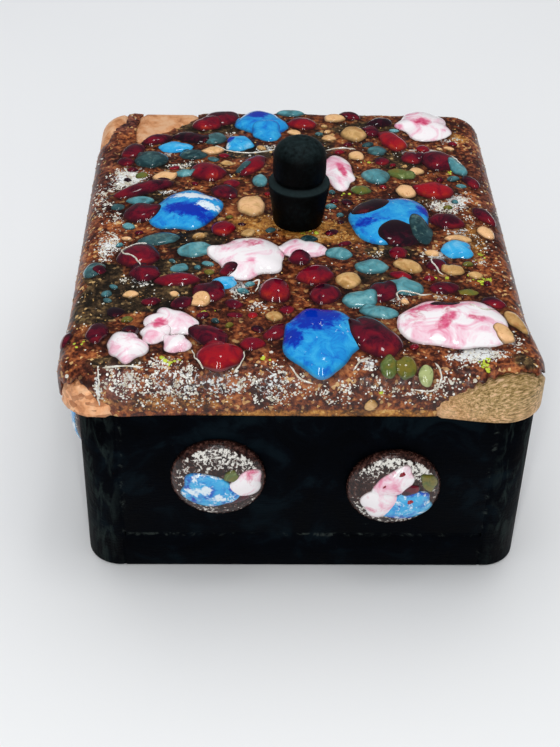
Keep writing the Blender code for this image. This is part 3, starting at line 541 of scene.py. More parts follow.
def flat_shell(pitch, corner, chipped):
    """A flat shell with its outer face at height 0 and its inner one at -1."""
    half_x, half_y = CORE_X + corner, CORE_Y + corner
    bm = bmesh.new()
    across, back = math.ceil(2 * half_x / pitch), math.ceil(2 * half_y / pitch)
    bmesh.ops.create_grid(bm, x_segments=across, y_segments=back, size=1.0)
    bmesh.ops.scale(bm, vec=(half_x, half_y, 1), verts=bm.verts)
    flat = np.array([vert.co for vert in bm.verts])
    s, t = round_corners(flat[:, 0], flat[:, 1], corner)
    if chipped:
        step = pitch / SLOPE_STEPS
        away = chip_distance(s, t)
        slope_s = (chip_distance(s + step, t) - away) / step
        slope_t = (chip_distance(s, t + step) - away) / step
        steep = np.maximum(np.hypot(slope_s, slope_t), LEAST_SLOPE)
        snapped = np.abs(away) < SNAP_REACH * pitch
        s = np.where(snapped, s - away * slope_s / steep ** 2, s)
        t = np.where(snapped, t - away * slope_t / steep ** 2, t)
        away = np.where(snapped, 0.0, away)
    for vert, x, y in zip(bm.verts, s, t):
        vert.co = (x, y, INNER)
    if chipped:
        cut_out(bm, away)
    raised = bmesh.ops.extrude_face_region(bm, geom=bm.faces[:])["geom"]
    raised = [part for part in raised if isinstance(part, bmesh.types.BMVert)]
    bmesh.ops.translate(bm, vec=(0, 0, OUTER - INNER), verts=raised)
    bmesh.ops.recalc_face_normals(bm, faces=bm.faces)
    return bm


print("chips:", len(CHIPS))

# %% [markdown]
# ## From points to pieces
# A bmesh is a mesh under construction. Once finished, it becomes a mesh, and the mesh becomes an object
# that rides with the box. Thousands of points are read, moved and given numbers all at once, as arrays,
# which is far quicker than one by one.

# %% Pieces
def add_piece(name, bm, materials, smooth=True):
    """Turns a finished bmesh into a named piece that rides with the box."""
    mesh = bpy.data.meshes.new(name)
    bm.to_mesh(mesh)
    bm.free()
    piece = bpy.data.objects.new(name, mesh)
    bpy.context.scene.collection.objects.link(piece)
    for material in materials:
        mesh.materials.append(material)
    if smooth:
        mesh.shade_smooth()
    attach(piece, "root")
    return piece


def merge(whole, part):
    """Moves a small bmesh into a big one, since operators slow down as a mesh grows."""
    carried = bpy.data.meshes.new("carried")
    part.to_mesh(carried)
    part.free()
    whole.from_mesh(carried)
    bpy.data.meshes.remove(carried)


def places(mesh):
    """A mesh's points as an array."""
    found = np.zeros(len(mesh.vertices) * 3, np.float32)
    mesh.vertices.foreach_get("co", found)
    return found.reshape(-1, 3).astype(float)


def set_places(mesh, points):
    mesh.vertices.foreach_set("co", points.astype(np.float32).ravel())
    mesh.update()


def set_values(mesh, name, values):
    """Stores one number for each point, for the materials to read."""
    layer = mesh.attributes.get(name) or mesh.attributes.new(name, "FLOAT", "POINT")
    layer.data.foreach_set("value", values.astype(np.float32))


# %% [markdown]
# ## Shader helpers
# Materials here are node trees written in code. `add` makes one node, sets it up and links its inputs, so
# that each material reads as a short list of steps.

# %% Shader helpers
def add(tree, kind, inputs=None, **settings):
    """Adds a shader node, then sets its settings and sets or links its inputs."""
    made = tree.nodes.new(kind)
    for key, value in settings.items():
        setattr(made, key, value)
    for key, value in (inputs or {}).items():
        if isinstance(value, bpy.types.NodeSocket):
            tree.links.new(value, made.inputs[key])
        else:
            made.inputs[key].default_value = value
    return made


def colour_mix(tree, share, first, second, mode="MIX"):
    """Two colours mixed; a plain one is given as red, green and blue."""
    pair = [tint if isinstance(tint, bpy.types.NodeSocket) else (*tint, 1.0) for tint in (first, second)]
    inputs = {0: share, 6: pair[0], 7: pair[1]}
    return add(tree, "ShaderNodeMix", inputs, data_type="RGBA", blend_type=mode).outputs[2]


def maths(tree, operation, first, second=0.0, third=0.0):
    return add(tree, "ShaderNodeMath", {0: first, 1: second, 2: third}, operation=operation).outputs[0]


def swayed(tree, base, pattern, amount):
    """A value moved up and down by a noise pattern."""
    return maths(tree, "MULTIPLY_ADD", maths(tree, "SUBTRACT", pattern, 0.5), amount, base)


def between(tree, value, low, high, bottom=0.0, top=1.0):
    """Maps a value's range onto another, held at its ends."""
    inputs = {"Value": value, "From Min": low, "From Max": high, "To Min": bottom, "To Max": top}
    return add(tree, "ShaderNodeMapRange", inputs).outputs[0]


def window(tree, value, low, full, leave, high):
    """1 between full and leave, fading to 0 at low and high."""
    fading = between(tree, value, leave, high, 1.0, 0.0)
    return maths(tree, "MULTIPLY", between(tree, value, low, full), fading)


def grain(tree, place, scale, detail=2.0, roughness=0.5, distortion=0.0):
    inputs = {"Vector": place, "Scale": scale, "Detail": detail, "Roughness": roughness,
              "Distortion": distortion}
    return add(tree, "ShaderNodeTexNoise", inputs).outputs[0]


def cells(tree, place, scale):
    """A pattern of small cells, each with a random value."""
    colour = add(tree, "ShaderNodeTexVoronoi", {"Vector": place, "Scale": scale}).outputs["Color"]
    return add(tree, "ShaderNodeSeparateColor", {"Color": colour}).outputs["Red"]


def stretched(tree, place, scale=(1.0, 1.0, 1.0), turn=0.0):
    """Coordinates that draw a pattern out along some of their axes, or turn it about the upright one."""
    inputs = {"Vector": place, "Scale": scale, "Rotation": (0, 0, math.radians(turn))}
    return add(tree, "ShaderNodeMapping", inputs).outputs["Vector"]


def parted(tree, vector):
    return add(tree, "ShaderNodeSeparateXYZ", {"Vector": vector}).outputs


def stored(tree, name):
    return add(tree, "ShaderNodeAttribute", attribute_name=name).outputs["Fac"]


def colours(tree, share, stops):
    """A colour ramp through several (place, colour) stops."""
    ramp = add(tree, "ShaderNodeValToRGB", {"Fac": share})
    for _ in range(len(stops) - 2):
        ramp.color_ramp.elements.new(0.5)
    for element, (place, colour) in zip(ramp.color_ramp.elements, stops):
        element.position = place
        element.color = (*colour, 1.0)
    return ramp.outputs["Color"]


def new_material(name, **plain):
    """A material with its shader, its object coordinates and plain values on the shader's own sockets."""
    material = bpy.data.materials.new(name)
    material.use_nodes = True
    tree = material.node_tree
    shader = tree.nodes["Principled BSDF"]
    for socket, value in plain.items():
        shader.inputs[socket.replace("_", " ")].default_value = value
    return material, tree, shader, add(tree, "ShaderNodeTexCoord").outputs["Object"]


def finish(tree, shader, colour, relief, strength, distance, roughness=None):
    """Links a shader's colour, its fine bumps and, where that varies, its roughness."""
    bumps = add(tree, "ShaderNodeBump", {"Height": relief, "Strength": strength, "Distance": distance})
    sockets = {"Base Color": colour, "Normal": bumps.outputs["Normal"], "Roughness": roughness}
    for name, socket in sockets.items():
        if socket is not None:
            tree.links.new(socket, shader.inputs[name])


# %% [markdown]
# ## Fired glass
# Several finishes share one effect: a stain whose soft area is broken up by noise until it has crisp,
# feathery edges, as pigment has in opal glass. It is built once as a node group. `area` is the dabbed
# value, `size` the pattern's scale, `crisp` the width of the step between clear and stained, `spread` how
# far the area pushes the stain out, and `uneven` how strongly the pattern breaks it up.

# %% Stain group
STAIN_INPUTS = ("area", "size", "crisp", "spread", "uneven")


def make_stain_group():
    group = bpy.data.node_groups.new("glass_stain", "ShaderNodeTree")
    for name in STAIN_INPUTS:
        group.interface.new_socket(name, in_out="INPUT", socket_type="NodeSocketFloat")
    group.interface.new_socket("mask", in_out="OUTPUT", socket_type="NodeSocketFloat")
    entry = add(group, "NodeGroupInput").outputs
    place = add(group, "ShaderNodeTexCoord").outputs["Object"]
    pattern = grain(group, place, entry["size"], detail=5.0, roughness=0.62, distortion=0.6)
    pattern = swayed(group, 0.5, pattern, entry["uneven"])
    pushed = maths(group, "MULTIPLY_ADD", entry["area"], entry["spread"], pattern)
    high = maths(group, "ADD", entry["crisp"], 1.0)
    mask = between(group, pushed, 1.0, high)
    leave = add(group, "NodeGroupOutput")
    group.links.new(mask, leave.inputs["mask"])
    return group


STAIN = make_stain_group()
print("nodes in the stain group:", len(STAIN.nodes))


def stain(tree, area, size, crisp, spread=1.0, uneven=1.0):
    """The mask of a stain, from 0 to 1."""
    inputs = dict(zip(STAIN_INPUTS, (area, size, crisp, spread, uneven)))
    return add(tree, "ShaderNodeGroup", inputs, node_tree=STAIN).outputs["mask"]


def stained(tree, colour, tint, *look):
    """A colour with a stain of another one on it."""
    return colour_mix(tree, stain(tree, *look), colour, tint)


# %% [markdown]
# ## The amber coat
# The ground coat is a transparent brown glass over copper, full of tiny grains that melted at different
# speeds. Up close it is a mottle of dark red-brown, amber and gold. White powder was sifted over parts of
# it. The stored areas steer the mottle, and a fine bump gives the orange-peel skin.

# %% Amber coat material
def make_coat_material():
    material, tree, shader, place = new_material("amber_coat", Specular_IOR_Level=0.3, Coat_Weight=0.12,
                                                 Coat_Roughness=0.10)
    mottle = grain(tree, place, 800.0, detail=3.0, roughness=0.65)
    broad = grain(tree, place, 150.0, detail=4.0, roughness=0.6)
    granule = cells(tree, place, 1350.0)
    tone = swayed(tree, swayed(tree, mottle, broad, 1.0), granule, 0.22)
    base = colours(tree, tone, ((0.32, (0.030, 0.006, 0.003)), (0.46, (0.095, 0.019, 0.007)),
                                (0.58, (0.215, 0.052, 0.015)), (0.70, (0.37, 0.110, 0.028)),
                                (0.84, (0.50, 0.18, 0.055))))
    golden = colours(tree, tone, ((0.28, (0.085, 0.030, 0.005)), (0.50, (0.34, 0.125, 0.020)),
                                  (0.66, (0.54, 0.25, 0.050)), (0.80, (0.72, 0.45, 0.15))))
    base = stained(tree, base, golden, stored(tree, "gold"), 420.0, 0.35, 1.25)
    murky = colours(tree, tone, ((0.34, (0.009, 0.006, 0.003)), (0.54, (0.038, 0.022, 0.010)),
                                 (0.68, (0.105, 0.060, 0.024)), (0.84, (0.24, 0.17, 0.06))))
    base = stained(tree, base, murky, stored(tree, "dark"), 260.0, 0.35, 1.35)
    plum = colours(tree, tone, ((0.3, (0.035, 0.010, 0.012)), (0.55, (0.12, 0.045, 0.042)),
                                (0.8, (0.24, 0.11, 0.10))))
    base = colour_mix(tree, maths(tree, "MULTIPLY", stored(tree, "maroon"), 0.8), base, plum)
    rare = between(tree, granule, 0.935, 0.955)
    spark = maths(tree, "MULTIPLY", rare, between(tree, broad, 0.40, 0.62, 0.15, 0.9))
    base = colour_mix(tree, spark, base, (0.66, 0.42, 0.17))
    white = stain(tree, stored(tree, "frit"), 1250.0, 0.08, 0.64, 1.3)
    base = colour_mix(tree, white, base, (0.74, 0.76, 0.75))
    # Painted shade: the coat darkens round the foot of every lump.
    shadowed = maths(tree, "MULTIPLY", stored(tree, "hem"), 0.8)
    base = colour_mix(tree, shadowed, base, (0.10, 0.05, 0.03), "MULTIPLY")
    rough = maths(tree, "MULTIPLY_ADD", white, 0.2, between(tree, mottle, 0.3, 0.7, 0.32, 0.50))
    relief = maths(tree, "MULTIPLY_ADD", white, 1.2, maths(tree, "MULTIPLY_ADD", granule, 0.6, mottle))
    finish(tree, shader, base, relief, 0.6, 0.00026, rough)
    return material


coat_glass = make_coat_material()
print("nodes in the coat:", len(coat_glass.node_tree.nodes))

# %% [markdown]
# ## Ruby glass
# Ruby glass is dark where it is deep and glows where light gets in at its near edge. Real light through
# glass would do this by itself but takes long to render without specks, so the glow is a colour, laid on by
# how far out and how near the front a point lies. A thin lump lets the brown coat through at its border, so
# every glass darkens there.

# %% Ruby
def glass_material(name):
    return new_material(name, Roughness=0.12, Specular_IOR_Level=0.15, Coat_Weight=0.9, Coat_Roughness=0.02)


def finish_glass(tree, shader, colour, relief, width, strength, rim_colour):
    """Ends a lump's glass: a darker border, where it thins out over the coat, and a faint unevenness."""
    rim = between(tree, stored(tree, "core"), 0.0, width, strength, 0.0)
    finish(tree, shader, colour_mix(tree, rim, colour, rim_colour), relief, 0.12, 0.0003)


def faint_waves(tree, place):
    return grain(tree, place, 420.0, detail=2.0)


def make_ruby():
    material, tree, shader, place = glass_material("ruby_glass")
    swirl = grain(tree, place, 300.0, detail=4.0, roughness=0.6, distortion=0.8)
    shade = stored(tree, "shade")
    lit = maths(tree, "MULTIPLY_ADD", stored(tree, "front"), 0.24, swayed(tree, shade, swirl, 1.5))
    colour = colours(tree, lit, ((0.0, (0.010, 0.002, 0.006)), (0.25, (0.040, 0.002, 0.010)),
                                 (0.50, (0.125, 0.003, 0.014)), (0.75, (0.20, 0.003, 0.013)),
                                 (1.0, (0.31, 0.005, 0.012))))
    glow = maths(tree, "MULTIPLY", window(tree, stored(tree, "front"), 0.30, 0.65, 1.5, 2.0),
                 window(tree, stored(tree, "core"), 0.04, 0.12, 0.22, 0.42))
    glow = maths(tree, "MULTIPLY", glow, between(tree, swirl, 0.46, 0.62))
    glow = maths(tree, "MULTIPLY", glow, between(tree, shade, 0.3, 0.9, 0.15, 1.0))
    colour = colour_mix(tree, glow, colour, (0.44, 0.040, 0.012))
    finish_glass(tree, shader, colour, faint_waves(tree, place), 0.20, 0.85, (0.014, 0.005, 0.007))
    return material


glasses = {"ruby": make_ruby()}
print("glasses:", ", ".join(glasses))

# %% [markdown]
# ## Opal glasses
# Blue and rose glass is cloudy, with deep and milky stains whose places are dabbed on. The stains could be
# painted on an image, but those made from noise stay crisp however near the camera comes.

# %% Blue
def make_blue():
    material, tree, shader, place = glass_material("blue_glass")
    drift = grain(tree, place, 300.0, detail=5.0, roughness=0.6, distortion=0.8)
    shade = swayed(tree, stored(tree, "shade"), drift, 1.6)
    colour = colours(tree, shade, ((0.1, (0.19, 0.53, 0.78)), (0.4, (0.040, 0.40, 0.72)),
                                   (0.7, (0.012, 0.28, 0.66)), (0.95, (0.008, 0.13, 0.55))))
    deep = maths(tree, "ADD", stored(tree, "deep"), 0.16)
    milk = maths(tree, "ADD", stored(tree, "milk"), 0.10)
    colour = stained(tree, colour, (0.002, 0.10, 0.54), deep, 430.0, 0.55, 1.35, 2.2)
    colour = stained(tree, colour, (0.001, 0.025, 0.38), deep, 700.0, 0.45, 1.05, 2.6)
    colour = stained(tree, colour, (0.72, 0.82, 0.88), milk, 900.0, 0.30, 1.0, 2.4)
    finish_glass(tree, shader, colour, faint_waves(tree, place), 0.08, 0.75, (0.012, 0.06, 0.09))
    return material


glasses["blue"] = make_blue()
print("glasses:", ", ".join(glasses))

# %% Rose
def make_rose():
    material, tree, shader, place = glass_material("rose_glass")
    blush = grain(tree, place, 170.0, detail=5.0, roughness=0.6, distortion=1.2)
    colour = colours(tree, blush, ((0.46, (0.88, 0.84, 0.85)), (0.56, (0.86, 0.60, 0.68)),
                                   (0.68, (0.78, 0.27, 0.40))))
    deep = maths(tree, "ADD", stored(tree, "deep"), 0.06)
    colour = stained(tree, colour, (0.74, 0.16, 0.29), deep, 420.0, 0.60, 1.20, 2.2)
    colour = stained(tree, colour, (0.50, 0.020, 0.085), deep, 640.0, 0.70, 0.85, 2.2)
    finish_glass(tree, shader, colour, faint_waves(tree, place), 0.07, 0.75, (0.16, 0.09, 0.075))
    return material


glasses["rose"] = make_rose()
print("glasses:", ", ".join(glasses))

# %% [markdown]
# ## Plain glasses
# Teal, peach and green differ only in their colours, so one function makes all three. Each runs along a few
# colours by its lump's own shade and a slow noise, which gives neighbours of one kind slightly different
# tones.

# %% Teal, peach and green
def make_plain_glass(name, stops, veins, rim_colour):
    """A glass that runs along a few colours, with fine veins and a darker border."""
    material, tree, shader, place = glass_material(name)
    drift = grain(tree, place, 300.0, detail=3.0, roughness=0.55, distortion=0.9)
    colour = colours(tree, swayed(tree, stored(tree, "shade"), drift, 1.5), stops)
    streak = between(tree, grain(tree, place, 480.0, detail=4.0, distortion=1.6), 0.54, 0.68)
    colour = colour_mix(tree, maths(tree, "MULTIPLY", streak, 0.5), colour, veins)
    finish_glass(tree, shader, colour, drift, 0.20, 0.85, rim_colour)
    return material


# Colours along the shade, veins and border
TEAL = (((0.0, (0.010, 0.035, 0.042)), (0.4, (0.040, 0.10, 0.11)), (0.75, (0.080, 0.27, 0.31)),
         (1.0, (0.17, 0.40, 0.43))), (0.14, 0.24, 0.21), (0.008, 0.020, 0.020))
PEACH = (((0.1, (0.36, 0.19, 0.055)), (0.45, (0.62, 0.38, 0.15)), (0.9, (0.84, 0.50, 0.25))),
         (0.42, 0.15, 0.04), (0.06, 0.028, 0.008))
GREEN = (((0.0, (0.17, 0.14, 0.020)), (0.35, (0.09, 0.13, 0.030)), (0.9, (0.40, 0.45, 0.19))),
         (0.05, 0.06, 0.01), (0.02, 0.03, 0.01))
for family, look in (("teal", TEAL), ("peach", PEACH), ("green", GREEN)):
    glasses[family] = make_plain_glass(family + "_glass", *look)
print("glasses:", ", ".join(glasses))

# %% [markdown]
# ## The coat
# The fine coat follows the sheet, rises a little where it clings to the lumps, and is pitted and wavy
# between them. It stands for the plain solid coat.

# %% The coat
COAT_PITCH = 0.00063
HEM_WIDTH = 0.0006
HEM_SHADE = 0.0009
CHIP_TAPER = 0.0018
CHIP_SINK = 0.0003
CLING = 0.00025
# Height, size and seed of the coat's two kinds of waves, and the height of the strewn white powder
COAT_WAVES = ((0.00012, 0.0045, 3.0), (0.00007, 0.0013, 5.0))
POWDER = 0.00010
HEM_REACH = 4 * HEM_WIDTH
SHADE_REACH = 0.004


def lump_gap(s, t):
    """Roughly how far points of the sheet lie from the nearest lump's outline; 0 inside."""
    nearest = np.full_like(s, 1.0)
    for lump in lumps:
        close = np.hypot(s - lump.s, t - lump.t) < max(lump.length, lump.width) + HEM_REACH
        if close.any():
            away = (lump.out(s[close], t[close]) - 1) * min(lump.length, lump.width)
            nearest[close] = np.minimum(nearest[close], np.maximum(away, 0))
    return nearest


def make_coat():
    bm = flat_shell(COAT_PITCH, SHEET_CORNER - COAT_STOP, chipped=True)
    piece = add_piece("lid_coat", bm, [coat_glass])
    flat = places(piece.data)
    s, t = flat[:, 0], flat[:, 1]
    outer = flat[:, 2] > (INNER + OUTER) / 2
    apart = lump_gap(s, t)
    hem = np.exp(-apart / HEM_WIDTH)
    waves = sum(height * ripple(s, t, size, seed) for height, size, seed in COAT_WAVES)
    frit = dabbed(s, t, WHITE_GRAINS)
    lift = waves + CLING * hem + POWDER * frit
    edge = eased(chip_distance(s, t) / CHIP_TAPER)
    lift = np.where(outer, lift * edge - CHIP_SINK * (1 - edge), -COAT)
    set_places(piece.data, wrap(s, t, lift, np.where(outer, 1.0, 0.0)))
    set_values(piece.data, "frit", frit)
    for name, dabs in (("gold", GOLD_AREAS), ("dark", DARK_AREAS), ("maroon", MAROON_AREAS)):
        set_values(piece.data, name, dabbed(s, t, dabs))
    # How deep the painted shade round each lump's foot is, for the coat's material.
    set_values(piece.data, "hem", np.where(apart < SHADE_REACH, np.exp(-apart / HEM_SHADE), 0.0))
    return piece


lid_coat = make_coat()
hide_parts("lid_enamel")
print("coat faces:", len(lid_coat.data.polygons))

# %% [markdown]
# ## The lumps as meshes
# Each lump starts as a sphere. Its top half is pressed into the lump's dome, its bottom half into a shallow
# keel inside the coat, and the whole is bent round the lid. The sphere's rings crowd together at its
# equator, which is just where the round shoulder needs them.

# %% The lumps
KEEL = 0.00045
RIPPLE_HEIGHT = 0.00010
RIPPLE_SIZE = 0.0028
RIPPLE_SEED_STEP = 0.7
LUMP_STEP = 0.00052
LUMP_STEPS = (26, 84)
LEAST_RINGS = 12
EQUATOR = -1e-6
GLASS_VALUES = ("shade", "core", "front", "deep", "milk")


class Ball:
    """A round ball whose points are moved into the shape of a lump, a disc or one of a disc's blobs."""

    def __init__(self, around, down, names):
        self.bm = bmesh.new()
        self.layers = {name: self.bm.verts.layers.float.new(name) for name in names}
        made = bmesh.ops.create_uvsphere(self.bm, u_segments=around, v_segments=down, radius=1.0)
        self.verts = made["verts"]
        spots = np.array([vert.co for vert in self.verts])
        self.x, self.y = spots[:, 0], spots[:, 1]
        self.upper = spots[:, 2] > EQUATOR
        self.share = np.minimum(np.hypot(self.x, self.y), 1.0)
        self.angle = np.arctan2(self.y, self.x)

    def settle(self, whole, spots, values, material=0):
        """Moves the points to their spots, stores their numbers and merges the ball into the whole."""
        values = {name: np.broadcast_to(values.get(name, 0.0), len(self.verts)) for name in self.layers}
        for number, vert in enumerate(self.verts):
            vert.co = spots[number]
            for name, layer in self.layers.items():
                vert[layer] = float(values[name][number])
        for face in self.bm.faces:
            face.material_index = material
        merge(whole, self.bm)


def make_lumps(name, members, piled):
    whole = bmesh.new()
    for index, lump in enumerate(members):
        around = int(np.clip(math.pi * (lump.length + lump.width) / LUMP_STEP, *LUMP_STEPS))
        ball = Ball(around, max(around // 3, LEAST_RINGS), GLASS_VALUES)
        s, t = lump.point(ball.angle, ball.share)
        below = pile(s, t, index if piled else 0)
        wavy = RIPPLE_HEIGHT * ripple(s, t, RIPPLE_SIZE, index * RIPPLE_SEED_STEP) * (1 - ball.share ** 2)
        top = below + lump.sagged(lump.dome(ball.share), below) + wavy
        lift = np.where(ball.upper, top, below - KEEL * (1 - ball.share ** 2))
        values = {
            "shade": lump.shade,
            "core": 1 - ball.share,
            "front": np.clip((lump.t - t) / max(lump.length, lump.width), -1, 1),
            "deep": dabbed(s, t, DEEP_STAINS),
            "milk": dabbed(s, t, MILKY_AREAS),
        }
        ball.settle(whole, wrap(s, t, lift), values, FAMILIES.index(lump.family))
    return add_piece(name, whole, [glasses[family] for family in FAMILIES])


for name, members, piled in (("lid_lumps", lumps, True), ("small_lumps", strewn, False)):
    piece = make_lumps(name, members, piled)
    print(name, "triangles:", sum(len(face.vertices) - 2 for face in piece.data.polygons))

# %% [markdown]
# ## Grains
# White and lime powder glass was strewn on before the last firing. Each grain is a tiny squashed stone sunk
# into the coat. They are scattered by a seeded draw, thick where the dabs are strong.

# %% Grains
def grain_material(name, colour, other):
    material, tree, shader, place = new_material(name, Roughness=0.22, Coat_Weight=0.8, Coat_Roughness=0.03)
    tint = grain(tree, place, 500.0, detail=2.0)
    tint = colour_mix(tree, between(tree, tint, 0.4, 0.65), colour, other)
    finish(tree, shader, tint, grain(tree, place, 4000.0), 0.3, 0.0001)
    return material


GRAIN_STOP = 0.0016
GRAIN_TRIES = 60
GRAIN_CHIP_CLEAR = 0.0006
GRAIN_CLUMP = 0.0022
GRAIN_STRETCH = (0.6, 1.3)
GRAIN_TILT = 0.5
GRAIN_PROUD = 0.15
BARE_LIFT = 0.00005
# Kind, seed, dabs, most grains, their radius from and to, flatness, stray share and two colours
GRAINS = (
    ("white", 11, WHITE_GRAINS, 5600, (0.00011, 0.00042), 0.5, 0.006, (0.80, 0.79, 0.72),
     (0.52, 0.47, 0.36)),
    ("lime", 23, LIME_GRAINS, 700, (0.00026, 0.00080), 0.35, 0.0, (0.56, 0.68, 0.05), (0.36, 0.40, 0.03)),
    ("amber", 31, GOLD_AREAS, 1200, (0.00014, 0.00036), 0.5, 0.05, (0.66, 0.40, 0.12), (0.40, 0.15, 0.04)),
)


def grain_spots(draw, dabs, count, stray, seed):
    """Spots of the sheet for grains: thick where the dabs are strong, in clumps, and on bare coat only."""
    tries = draw.uniform(-1, 1, (count * GRAIN_TRIES, 2)) * (CORE_X + SHEET_CORNER, CORE_Y + SHEET_CORNER)
    s, t = tries[:, 0], tries[:, 1]
    clumps = np.clip(0.55 + 1.3 * ripple(s, t, GRAIN_CLUMP, seed + 0.5), 0, 1)
    chance = (stray + (1 - stray) * dabbed(s, t, dabs) ** 1.5) * clumps
    reach = np.hypot(np.maximum(np.abs(s) - CORE_X, 0), np.maximum(np.abs(t) - CORE_Y, 0))
    chance = np.where(reach < SHEET_CORNER - GRAIN_STOP, chance, 0.0)
    free = (chip_distance(s, t) > GRAIN_CHIP_CLEAR) & (draw.uniform(0, 1, len(tries)) < chance)
    bare = pile(s, t, len(lumps)) < BARE_LIFT
    return tries[free & bare][:count]


def make_grains(kind, seed, dabs, count, sizes, flat, stray, colour, other):
    """Strews grains of one kind over the lid and gives their material."""
    draw = np.random.default_rng(seed)
    material = grain_material(kind + "_frit", colour, other)
    whole = bmesh.new()
    kept = grain_spots(draw, dabs, count, stray, seed)
    for s, t in kept:
        size = draw.uniform(*sizes) * (0.6 + 0.4 * draw.uniform())
        bm = bmesh.new()
        made = bmesh.ops.create_icosphere(bm, subdivisions=1, radius=1.0)["verts"]
        stretch = draw.uniform(*GRAIN_STRETCH, 3) * (1, 1, flat)
        turn = Matrix.Rotation(draw.uniform(0, math.tau), 3, "Z")
        turn = turn @ Matrix.Rotation(draw.uniform(-GRAIN_TILT, GRAIN_TILT), 3, "X")
        ball = np.array([turn @ Vector(np.array(vert.co) * stretch * size) for vert in made])
        spots = wrap(s + ball[:, 0], t + ball[:, 1], ball[:, 2] + GRAIN_PROUD * size)
        for vert, spot in zip(made, spots):
            vert.co = spot
        merge(whole, bm)
    piece = add_piece(kind + "_grains", whole, [material], smooth=False)
    print(kind, "grains:", len(kept))
    return material


grain_glasses = {row[0]: make_grains(*row) for row in GRAINS}

# %% [markdown]
# ## Threads
# A few threads of white glass were laid round the lumps and sagged into lacy lines. Each is a thin tube
# along a bent line on the sheet, thinning out at its ends; its corners are given in layout millimetres.

# %% Threads
THREADS = (
    ((-35.5, -13), (-39, -12), (-41.5, -14.5), (-41, -17.5), (-38.5, -18.5), (-36.5, -21.5)),
    ((-43.6, -57.5), (-43.0, -60), (-43.6, -63), (-43.2, -66)), ((-34, -57.5), (-38, -57), (-42.5, -57.5)),
    ((-23.5, -52), (-22.8, -55.5), (-20.8, -58.2)), ((-12.2, -52.5), (-12.6, -56), (-14.6, -58.8)),
    ((-2.5, -57), (-0.5, -60), (2.5, -60.8)), ((11, -58), (13, -55), (15.5, -54.5)),
    ((23, -33.5), (22, -30.5), (27.5, -31.8), (31, -30.8)),
    ((30.5, -12), (32.5, -16), (31, -19), (34, -23)),
    ((-20.5, 36), (-14, 33), (-8, 33.5), (-2, 36.5)), ((31, 36), (37.5, 37), (43, 33.5), (44.5, 29)),
    ((9, 35), (13, 36.8), (17, 36)), ((-44, 26), (-41, 20), (-43, 14)),
    ((-46, -5), (-42.5, -8), (-43, -12)),
    ((38.2, -36.5), (41.5, -38.8), (44, -37)), ((-11, -27.5), (-8.5, -25.8), (-9.8, -31)),
    ((24, -62), (28.8, -62.5), (30.3, -58.5), (28.6, -55.8)),
)
THREAD_RADIUS = 0.00022
THREAD_STEP = 0.00035
LEAST_STEPS = 4
THREAD_SIDES = 6
CORNER_CUTS = 3
# Size of the change and of its features along the thread: how it sways, and how its thickness varies
THREAD_SWAY = (0.00025, 0.0012)
THREAD_SWELL = (0.6, 0.0009)
THREAD_PROUD = 0.3 * THREAD_RADIUS
END_STEPS = 3


def thread_line(corners):
    """A bent line through a few corners, smoothed and cut into short steps."""
    line = np.array(corners) * LAYOUT
    for _ in range(CORNER_CUTS):
        cut = [line[0]]
        for a, b in zip(line, line[1:]):
            cut += [0.75 * a + 0.25 * b, 0.25 * a + 0.75 * b]
        line = np.array(cut + [line[-1]])
    lengths = np.concatenate(([0.0], np.cumsum(np.hypot(*np.diff(line, axis=0).T))))
    marks = np.linspace(0, lengths[-1], max(int(lengths[-1] / THREAD_STEP), LEAST_STEPS))
    return np.stack([np.interp(marks, lengths, line[:, axis]) for axis in (0, 1)], 1)


def make_threads():
    whole = bmesh.new()
    turns = np.linspace(0, math.tau, THREAD_SIDES, endpoint=False)
    for number, corners in enumerate(THREADS):
        line = thread_line(corners)
        s, t = line[:, 0], line[:, 1]
        along = np.gradient(line, axis=0)
        along /= np.hypot(along[:, 0], along[:, 1])[:, None]
        s = s + THREAD_SWAY[0] * ripple(s, t, THREAD_SWAY[1], number) * along[:, 1]
        thick = THREAD_RADIUS * (1 + THREAD_SWELL[0] * ripple(s, t, THREAD_SWELL[1], number + 0.5))
        steps = np.arange(len(s))
        thick = thick * np.sqrt(np.clip(np.minimum(steps, steps[::-1]) / END_STEPS + 0.1, 0, 1))
        lift = pile(s, t, len(lumps)) + THREAD_PROUD
        bm = bmesh.new()
        rings = []
        for turn in turns:
            side, rise = thick * math.cos(turn), thick * math.sin(turn)
            rings.append(wrap(s - side * along[:, 1], t + side * along[:, 0], lift + rise))
        rings = [[bm.verts.new(ring[step]) for ring in rings] for step in range(len(s))]
        for one, other in zip(rings, rings[1:]):
            for k in range(THREAD_SIDES):
                bm.faces.new((one[k - 1], one[k], other[k], other[k - 1]))
        bm.faces.new(rings[0])
        bm.faces.new(rings[-1])
        bmesh.ops.recalc_face_normals(bm, faces=bm.faces)
        merge(whole, bm)
    piece = add_piece("white_threads", whole, [grain_glasses["white"]])
    print("threads:", len(THREADS))


make_threads()

# %% [markdown]
# ## Copper
# Copper shows where glass has sprung off: bright, pinkish at the far corner, torn into flakes at the near
# left and scraped into long golden scratches at the near right. Bare metal would mirror the dark
# surroundings, so it is only partly metallic, as tarnished copper looks under soft light. The scratches are
# noise, turned and drawn out along one axis.

